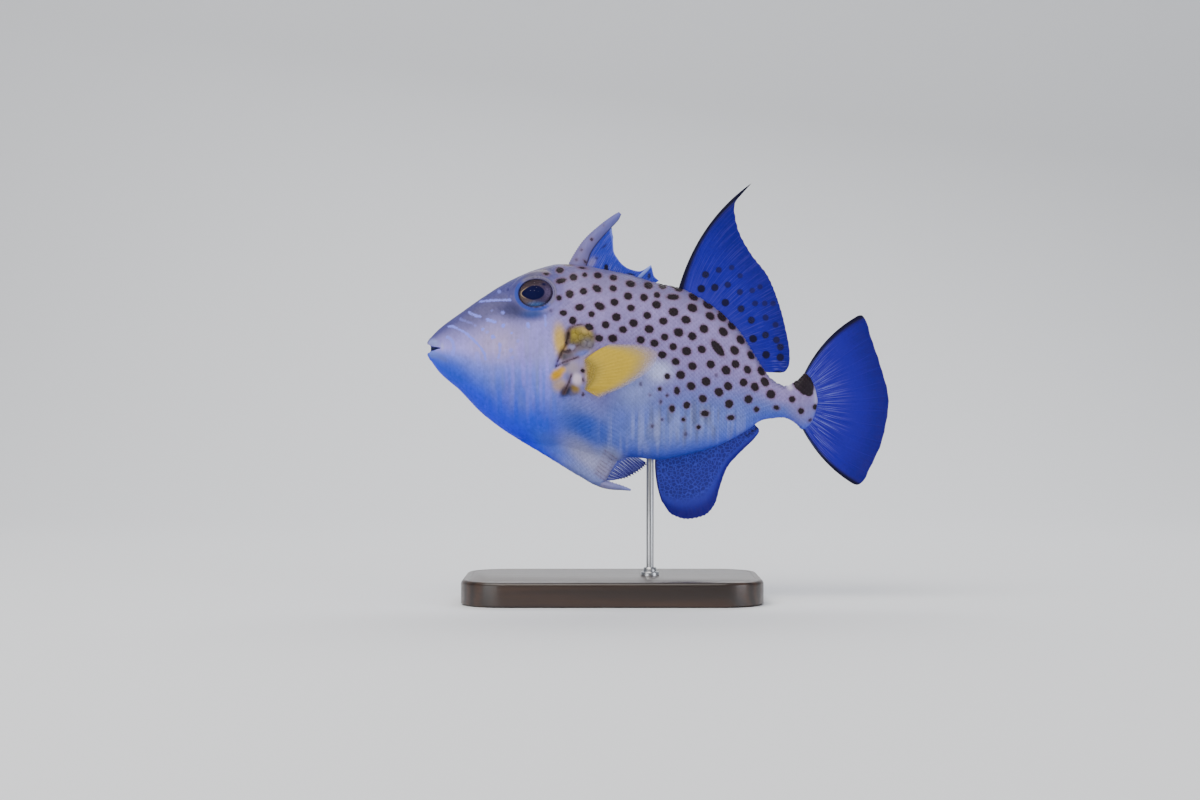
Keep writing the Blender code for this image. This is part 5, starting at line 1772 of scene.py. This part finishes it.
@dataclass
class Spine:
    """A stout fin spine: a flattened, tapering loft with rows of prickles."""

    name: str
    stations: tuple[tuple[float, float, float, float], ...]
    colours: tuple[str, str]
    node: str | None = None
    sides: int = 32
    rings: int = 70
    prickle_rows: tuple[float, ...] = (0.0, 22.0, -22.0, 45.0, -45.0)
    prickle_size: float = 0.2
    prickle_step: float = 0.7
    prickle_span: Pair = (0.1, 0.97)
    prickle_lean: float = 0.8
    dots: tuple[Spot, ...] = ()

    def __post_init__(self) -> None:
        """Measure the spine's middle line and lay its curves along it."""
        table = np.array(self.stations)
        run = np.concatenate([[0], np.cumsum(np.hypot(*np.diff(table[:, :2], axis=0).T))])
        self.length = run[-1]
        self.curves = [Profile(tuple(zip(run / self.length, column))) for column in table.T]

    def section(self, t: Field, turn: Field) -> Triple:
        """Point of the spine's surface.

        Args:
            t: Share along the spine.
            turn: Angle round it, with 0 at its front edge.

        Returns:
            Distance, height and side offset, in millimetres.
        """
        d, h, chord, thick = (curve.at(t) for curve in self.curves)
        dd, dh = (curve.at(t + 0.01) - curve.at(t - 0.01) for curve in self.curves[:2])
        length = np.hypot(dd, dh)
        ahead_d, ahead_h = -dh / length, dd / length
        ridge = 1 + 0.05 * np.cos(4 * turn)
        return (
            d + ahead_d * chord * np.cos(turn) * ridge, h + ahead_h * chord * np.cos(turn) * ridge,
            thick * np.sin(turn) * ridge,
        )

    def make(self, material: Material) -> None:
        """Build the spine and its prickles and hand them over.

        Args:
            material: Its finish.
        """
        t = np.linspace(0, 1, self.rings)[:, None]
        turn = full_turn(self.sides)[None, :]
        body = build_loft(self.name, place(*self.section(t + 0 * turn, turn + 0 * t)))
        rear = ramp(np.cos(turn + 0 * t), -0.86, -0.99).ravel()
        self.paint(body.data, rear)
        hand_over(body, material, Slot.SPINE, *([self.node] if self.node else []))
        along_t = np.arange(*self.prickle_span, self.prickle_step / self.length)
        rows = [(t_at, math.radians(angle)) for angle in self.prickle_rows for t_at in along_t]
        ts, turns = np.array(rows).T
        spot = place(*self.section(ts, turns))
        along = unit(place(*self.section(ts + 0.02, turns)) - spot)
        out = unit(np.cross(along, place(*self.section(ts, turns + 0.1)) - spot))
        middle = place(*self.section(ts, turns + math.pi))
        out = out * np.sign(((spot - middle) * out).sum(1))[:, None]
        out = unit(out + self.prickle_lean * along)
        prickle = make_plate("prickle", polygon(6), ((1, -0.5), (0.7, 0.4), (0.15, 1.3)))
        size = self.prickle_size * (1 - 0.5 * ts) * MM
        piece = set_plates(
            self.name.replace("_skin", "_prickles"), prickle, material, place=spot, out=out, along=along,
            size=np.stack([size] * 3, 1), root=np.stack([ts, turns / math.tau + 0.5, 0 * ts], 1),
            shade=0 * ts,
        )
        self.paint(piece.data, np.zeros(len(piece.data.vertices)))
        hand_over(piece, material, Slot.SPINE)

    def paint(self, mesh: Mesh, rear: Field) -> None:
        """Write the spine's colours onto a mesh.

        Args:
            mesh: The spine's body or its prickles.
            rear: Share of the dark line along the spine's rear edge.
        """
        d, h, _ = on_fish(read_points(mesh))
        (foot_d, foot_h), (tip_d, tip_h) = self.stations[0][:2], self.stations[-1][:2]
        run = (d - foot_d) * (tip_d - foot_d) + (h - foot_h) * (tip_h - foot_h)
        up = np.clip(run / self.length**2, 0, 1)
        tint = blend(linear(self.colours[0]), linear(self.colours[1]), ramp(up, 0.0, 1.0))
        tint = blend(tint, linear("#1C1A34"), rear * 0.9)
        spot, share = nearest(self.dots, d, h)
        plain = {"line": 0 * d + FAR, "line_share": 0 * d, "shade": 0 * d}
        write_fields(mesh, tint=tint, spot=spot, dark_share=share, **plain)


@dataclass
class DisplayStand:
    """Flat base with round corners and a softened edge, and a steel rod up to the belly."""

    edge: float = 1.4
    corner: float = 14.0
    edge_steps: int = 8
    corner_steps: int = 24
    rod_sides: int = 48

    def outline(self, inset: float) -> Field:
        """Corners of the base's outline, pulled in by an inset, in millimetres."""
        low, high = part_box("stand_base")
        half_x, half_y = (high.x - low.x) / 2 / MM, (high.y - low.y) / 2 / MM
        radius = self.corner - inset
        points = []
        for k, (sx, sy) in enumerate(((1, 1), (-1, 1), (-1, -1), (1, -1))):
            for a in np.linspace(k * 90, k * 90 + 90, self.corner_steps):
                x = sx * (half_x - self.corner) + radius * math.cos(math.radians(a))
                y = sy * (half_y - self.corner) + radius * math.sin(math.radians(a))
                points.append((x, y))
        return np.array(points)

    def make_base(self, material: Material) -> None:
        """Build the base and hand it over."""
        _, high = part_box("stand_base")
        top = high.z / MM
        layers = [(0.6, 0.0), (0.0, 0.6)]
        for a in np.linspace(0, math.pi / 2, self.edge_steps):
            layers.append((self.edge * (1 - math.cos(a)), top - self.edge + self.edge * math.sin(a)))
        layers += [(self.edge + 0.5, top), (self.edge + 1.1, top - 0.25), (self.edge + 1.7, top)]
        rings = [np.column_stack([self.outline(i), np.full(4 * self.corner_steps, z)]) for i, z in layers]
        base = build_loft("display_base", np.array(rings) * MM)
        base.data.set_sharp_from_angle(angle=math.radians(35))
        hand_over(base, material, Slot.WOOD, "stand_base")

    def make_rod(self, material: Material) -> None:
        """Turn the rod with its ferrule and hand it over."""
        low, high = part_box("stand_rod")
        _, base_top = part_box("stand_base")
        x = (low.x + high.x) / 2 / MM
        foot, top, deck = low.z / MM, high.z / MM, base_top.z / MM
        profile = [
            (0.02, foot), (1.2, foot), (1.2, deck - 0.1), (3, deck - 0.1), (3, deck + 0.9),
            (2.85, deck + 1.15), (2.3, deck + 1.3), (2.2, deck + 1.6), (2.05, deck + 2.35),
            (1.85, deck + 2.6), (1.2, deck + 2.6), (1.2, top + 0.2), (1, top + 0.5), (0.02, top + 0.5),
        ]
        r, z = np.array(profile).T
        a, r, z = full_turn(self.rod_sides)[None, :], r[:, None], z[:, None]
        rod = build_loft("display_rod", np.stack([x + r * np.cos(a), r * np.sin(a), z + 0 * a], -1) * MM)
        rod.data.set_sharp_from_angle(angle=math.radians(35))
        hand_over(rod, material, Slot.STEEL, "stand_rod")


@dataclass
class Studio:
    """Pale floor that curves up behind, soft lamps, and the camera at the photo's angle and framing."""

    distance: float = 0.72
    frame_width: float = 0.3888
    axis_x: float = -0.0039
    axis_z: float = 0.06475
    floor_half: float = 5.0
    wall_at: float = 0.9
    wall_radius: float = 0.45
    wall_height: float = 3.0
    lamp_aim: Point = (0.0, 0.0, 0.075)
    room_tone: str = "#E4E8F0"
    room_light: float = 0.31

    def make_floor(self) -> None:
        """Build the floor with its backdrop."""
        path = [(-self.floor_half, 0.0), (self.wall_at - self.wall_radius, 0.0)]
        for a in np.linspace(0, math.pi / 2, 24)[1:]:
            y = self.wall_at - self.wall_radius + self.wall_radius * math.sin(a)
            path.append((y, self.wall_radius * (1 - math.cos(a))))
        path.append((self.wall_at, self.wall_height))
        points = [(x, y, z) for y, z in path for x in (-self.floor_half, self.floor_half)]
        floor = build_mesh("floor", np.array(points), grid_faces(len(path), 2))
        floor.data.materials.append(StudioPaper().make())

    def lamp(self, name: str, at: Point, size: Pair, power: float, tone: str) -> None:
        """Hang a soft lamp that looks at the fish.

        Args:
            name: Name of the lamp.
            at: Its place, in metres.
            size: Width and height of its face.
            power: Its power, in watts.
            tone: Its colour.
        """
        data = bpy.data.lights.new(name, "AREA")
        data.shape = "RECTANGLE"
        data.size, data.size_y = size
        data.energy = power
        data.color = linear(tone)[:3]
        lamp = bpy.data.objects.new(name, data)
        lamp.location = at
        lamp.rotation_euler = (Vector(self.lamp_aim) - Vector(at)).to_track_quat("-Z", "Y").to_euler()
        bpy.context.scene.collection.objects.link(lamp)

    def make_lamps(self) -> None:
        """Hang the lamps and light the room evenly."""
        self.lamp("key_lamp", (-0.30, -0.45, 0.95), (0.95, 0.7), 12.0, "#FFFBF4")
        self.lamp("fill_lamp", (0.85, -0.55, 0.25), (0.5, 0.5), 3.4, "#F4F7FF")
        self.lamp("low_lamp", (-0.60, -0.75, 0.10), (0.6, 0.3), 2.4, "#FFFFFF")
        self.lamp("back_lamp", (0.10, 0.55, 0.60), (0.7, 0.35), 3.5, "#FFFFFF")
        world = bpy.data.worlds.new("room")
        bpy.context.scene.world = world
        world.use_nodes = True
        background = world.node_tree.nodes["Background"]
        background.inputs["Color"].default_value = linear(self.room_tone)
        background.inputs["Strength"].default_value = self.room_light

    def make_camera(self) -> None:
        """Stand the camera level, square to the left flank."""
        data = bpy.data.cameras.new("camera")
        data.lens = data.sensor_width * self.distance / self.frame_width
        data.clip_start = 0.01
        camera = bpy.data.objects.new("camera", data)
        camera.location = (self.axis_x, -self.distance, self.axis_z)
        camera.rotation_euler = (math.pi / 2, 0, 0)
        bpy.context.scene.collection.objects.link(camera)
        bpy.context.scene.camera = camera


@dataclass
class Triggerfish:
    """The whole fish."""

    markings: Markings = field(default_factory=Markings)
    grid: SkinGrid = field(default_factory=SkinGrid)

    def make_skin(self, skin_finish: Material) -> None:
        """Build the skin, its scales and its large plates."""
        skin = self.grid.build()
        self.markings.lay_spots()
        self.markings.dress(skin.data)
        hand_over(skin, skin_finish, Slot.SKIN, "head", "trunk", "tail_stalk")
        coat = ScaleCoat(self.grid, self.markings)
        for side in Side:
            hand_over(coat.make_scales(side, skin_finish), skin_finish, Slot.SKIN)
            hand_over(coat.make_plates(side, skin_finish), skin_finish, Slot.SKIN)

    def dorsal_spots(self) -> tuple[Spot, ...]:
        """Spots of the soft dorsal fin, smaller and fainter towards its edge."""
        places = (
            (90.6, 23.8), (94.9, 25.3), (99.1, 26.1), (101.8, 23.4), (89.2, 19.2), (93.6, 19.6),
            (97.8, 20.5), (101.7, 18.1), (105.7, 18.6), (108.2, 19.8), (97, 14.7), (102.1, 12.7),
            (106.6, 14.4), (109.7, 14.4), (112.4, 14.4), (105.4, 9), (110, 9.8), (113.2, 7.5), (106, 3),
            (110, 4.2), (113.5, 2.6), (110.2, -2.2), (114.8, 0.3), (114.8, -3),
        )
        spots = []
        for d, h in places:
            beyond = ((d - 84.0) * 27.0 + (h - 19.0) * 26.0) / math.hypot(27.0, 26.0)
            far = float(ramp(beyond, 4.0, 17.0))
            spots.append(Spot(d, h, 1.3 - 0.4 * far, 1.0, 0.0, 1.0 - 0.35 * far))
        return (*spots, Spot(114.2, -8.1, 0.7, 2.6, 0, 0.9))

    def make_fins(self, ray: Material) -> None:
        """Build every fin."""
        plain = FinMembrane("blue_fin_membrane").make()
        netted = FinMembrane("netted_fin_membrane", cells=1.15, contrast=0.08).make()
        yellow = FinMembrane("yellow_fin_membrane", contrast=0.1).make()
        Fin(
            "soft_dorsal", "soft_dorsal_fin",
            (
                (0, 82.6, 105.6, 53.5, 3.9), (0.08, 84.9, 100.1, 46, 3), (0.16, 87.2, 101.1, 39.5, 2.2),
                (0.3, 91, 105.2, 31, 1.1), (0.46, 95.9, 110.8, 23.3, 0.6), (0.62, 99.8, 113.9, 15.6, 0.3),
                (0.77, 103.4, 116.3, 7.1, 0), (0.9, 107, 117.9, -1.9, 0), (1, 110, 118, -8.2, 0),
            ),
            rays=27, outline=FORM.back, wave=1.6, notch=0.008, round_ends=(0.0, 0.35),
        ).make(FinLook(
            plain, ray, "#28209A", "#1A0892", "#16027C", "#2A22A0", "#1A0888", tip_span=(0.45, 0.95),
            ray_share=0.5, edge="#0B0726", edge_width=0.09, spots=self.dorsal_spots(), hair=0.06,
            hair_span=(1.4, 0.4), hairs=(Patch(115.0, -6.0, 3.6, 2.2, -50, 1.6, "#000000", 0.35),),
        ))
        Fin(
            "anal", "anal_fin",
            (
                (0, 74.6, 76.5, -49.9, 0.8), (0.12, 76.9, 79.7, -54.1, 0.5), (0.28, 80.2, 84.6, -55.6, 0.3),
                (0.45, 84.6, 90.1, -54.4, 0.1), (0.6, 88.8, 93.6, -50.5, 0), (0.72, 92.3, 95.3, -44.7, -0.2),
                (0.82, 95.9, 97.5, -38.9, 0), (0.91, 100.4, 102.1, -33.6, 0), (1, 106.6, 109.2, -27.4, 0),
            ),
            rays=25, outline=FORM.keel, wave=1.4, notch=0.012, round_ends=(0.0, 0.4),
        ).make(FinLook(
            netted, ray, "#3440B0", "#3038B0", "#180376", "#3440B0", "#180376", tip_span=(0.62, 0.92),
            ray_share=0.5, edge="#1A0E55",
            spots=tuple(Spot(104 + k, -28.4 + 0.8 * k, 0.42) for k in range(5)),
        ))
        Fin(
            "caudal", "caudal_fin",
            (
                (0, 122.3, 142.2, 11.6, 2.8, -9.9), (0.12, 123.2, 144, 4.5, 1.5, -11.9),
                (0.3, 124.2, 147.4, -5.8, 0.5, -14.3), (0.5, 124.7, 150, -17.2, 0, -17.4),
                (0.7, 124.2, 148.1, -29.2, 0.4, -20.7), (0.88, 123.2, 143.5, -39.9, 1.5, -23.5),
                (1, 122, 140.9, -45.4, 2.4, -25.3),
            ),
            rays=13, between=14, rows=64, sink=1.0, splits=(0.08, 0.3), ray_radius=0.2, notch=0.006,
            round_ends=(0.07, 0.09),
        ).make(FinLook(
            plain, ray, "#3C3EA8", "#200A94", "#170374", "#7E88E0", "#200A90", root_span=(0.0, 0.22),
            tip_span=(0.55, 0.98), ray_fade=(0.1, 0.5), ray_share=0.8, edge="#0B0728", edge_width=0.04,
            both_edges=True, hair=0.5, hair_span=(0.66, 0.08),
        ))
        Fin(
            "spiny_web", "dorsal_spiny_web",
            (
                (0, 51.4, 60.3, 39, 1.3), (0.12, 54.4, 60.7, 36, 0.4), (0.26, 57.3, 60.8, 32.1, 0),
                (0.4, 60.6, 62.5, 28.5, 0), (0.55, 64.2, 65.4, 25.9, 0), (0.7, 67.7, 69.3, 24.9, 0),
                (0.8, 69.7, 72.9, 26.6, 0), (0.9, 72.3, 73.9, 23.4, 0), (1, 74.3, 75.5, 21.8, 0),
            ),
            rays=9, outline=FORM.back, rows=40, notch=0.015, splits=(0.5, 0.8), ray_radius=0.14,
        ).make(FinLook(
            plain, ray, "#2C36B0", "#1E2AAE", "#2632B4", "#4A55C4", "#4A55C4", clear=0.88, ray_share=0.5,
            rim="#6F80DC", hair=0.35, hair_span=(1.6, 0.2),
            spots=(
                Spot(57.7, 32.9, 0.32, 4.2, 41, 0.8), Spot(55.3, 29.1, 0.5, 1, 0, 0.6),
                Spot(58.4, 26.2, 0.7, 1.5, 90), Spot(58.4, 25.4, 0.8), Spot(66.4, 23.9, 0.35, 3.4, -12, 0.9),
                Spot(72.3, 23.4, 0.55, 2, 80, 0.85),
            ),
            patches=(Patch(53.6, 27.6, 1.3, 2.2, -35, 1.6, "#857CB0", 0.85),),
        ))
        Fin(
            "pelvic_flap", "pelvic_flap",
            (
                (0, 58.5, 61.6, -42.7, 0), (0.25, 60.2, 64.9, -42.3, 0), (0.5, 62.5, 67.9, -41, 0),
                (0.75, 65.5, 70.3, -39.3, 0), (1, 69, 72, -37.4, 0),
            ),
            rays=14, outline=FORM.keel, rows=30, sink=1.6, notch=0.12, between=6, round_ends=(0.0, 0.3),
            splits=(0.4, 0.8), ray_radius=0.2,
        ).make(FinLook(
            plain, ray, "#5058B8", "#2A2478", "#180F50", "#B4B8DC", "#7F8AD0", hair=0.8,
            hair_span=(1.2, 0.3),
        ))
        for side in Side:
            Fin(
                f"pectoral_{side.word}", f"pectoral_fin_{side.word}",
                (
                    (0, 51.7, 60.3, 1, 0.8, -4.6), (0.2, 51.5, 68.7, 0.6, 0.6, -6.4),
                    (0.4, 51.4, 74.8, -2.3, 0.3, -8.2), (0.6, 51.4, 72.9, -6.5, 0, -10),
                    (0.8, 51.5, 66.7, -11.3, 0, -11.8), (1, 51.7, 56.4, -16.2, 0, -13.6),
                ),
                rays=15, between=8, sink=2.1, slot=Slot.FIN_YELLOW, side=side, fleshy=0.4, root_sink=-0.1,
                flare=17.0, ray_radius=0.12, splits=(0.25, 0.55), notch=0.008,
            ).make(FinLook(
                yellow, ray, "#A8934A", "#C0A236", "#C5AF7F", "#A8934A", "#CDB15A", root_span=(0.1, 0.4),
                ray_share=0.1, clear=0.97, fade=0.9, last_fade=0.5, first_fade=(0.08, 0.3),
            ))

    def make_spines(self, skin_finish: Material) -> None:
        """Build the first dorsal spine, the short third one and the pelvic spine."""
        Spine(
            "first_spine_skin",
            (
                (48.2, 24.4, 2.9, 2), (49.8, 28.2, 2.6, 1.9), (51.5, 31.8, 2.15, 1.6),
                (53.8, 34.9, 1.95, 1.4), (56.4, 37.6, 1.7, 1.25), (59.1, 40.1, 1.45, 1.05),
                (61.6, 42.3, 1.1, 0.8), (62.9, 43.7, 0.55, 0.4),
            ),
            ("#736B9C", "#5F60A4"), "dorsal_spine_first",
            dots=(
                Spot(53.7, 35.1, 0.55, 1, 0, 0.85), Spot(50.4, 31.7, 0.5, 1, 0, 0.55),
                Spot(48.8, 28.5, 0.45, 1.3, 0, 0.5), Spot(51.6, 27.9, 0.4, 1.8, -50, 0.8),
                Spot(57.6, 39.6, 0.35, 1, 0, 0.35),
            ),
        ).make(skin_finish)
        Spine(
            "third_spine_skin",
            (
                (69, 22.6, 0.7, 0.45), (70.4, 24.1, 0.62, 0.4), (71.8, 25.5, 0.5, 0.32),
                (73, 26.7, 0.22, 0.18),
            ),
            ("#6C7CD0", "#7F92E0"), rings=24, sides=16, prickle_rows=(0, 30, -30), prickle_size=0.14,
            prickle_step=0.5,
        ).make(skin_finish)
        Spine(
            "pelvic_spine_skin",
            (
                (54.6, -42.6, 1.5, 1.6), (57.6, -44, 1.35, 1.45), (60.6, -44.8, 1.1, 1.1),
                (63.4, -45.3, 0.75, 0.75), (66.4, -46, 0.3, 0.3),
            ),
            ("#8A86B4", "#7A80BC"), "pelvic_spine",
            prickle_rows=(0.0, 40.0, -40.0, 90.0, -90.0, 140.0, -140.0), prickle_step=1.2, prickle_size=0.26,
        ).make(skin_finish)


def main() -> None:
    """Build the fish, its stand and the studio."""
    logging.basicConfig(level=logging.INFO, format="%(name)s %(message)s")
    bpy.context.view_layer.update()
    skin_finish = ScaledSkin().make()
    ray_finish = FinRay().make()
    fish = Triggerfish()
    fish.make_skin(skin_finish)
    fish.make_fins(ray_finish)
    fish.make_spines(skin_finish)
    iris, cornea = IrisFinish().make(), Cornea().make()
    for side in Side:
        Eye(side).make(iris, cornea)
    stand = DisplayStand()
    stand.make_base(StainedWood().make())
    stand.make_rod(BrushedSteel().make())
    studio = Studio()
    studio.make_floor()
    studio.make_lamps()
    studio.make_camera()


if __name__ == "__main__":
    main()
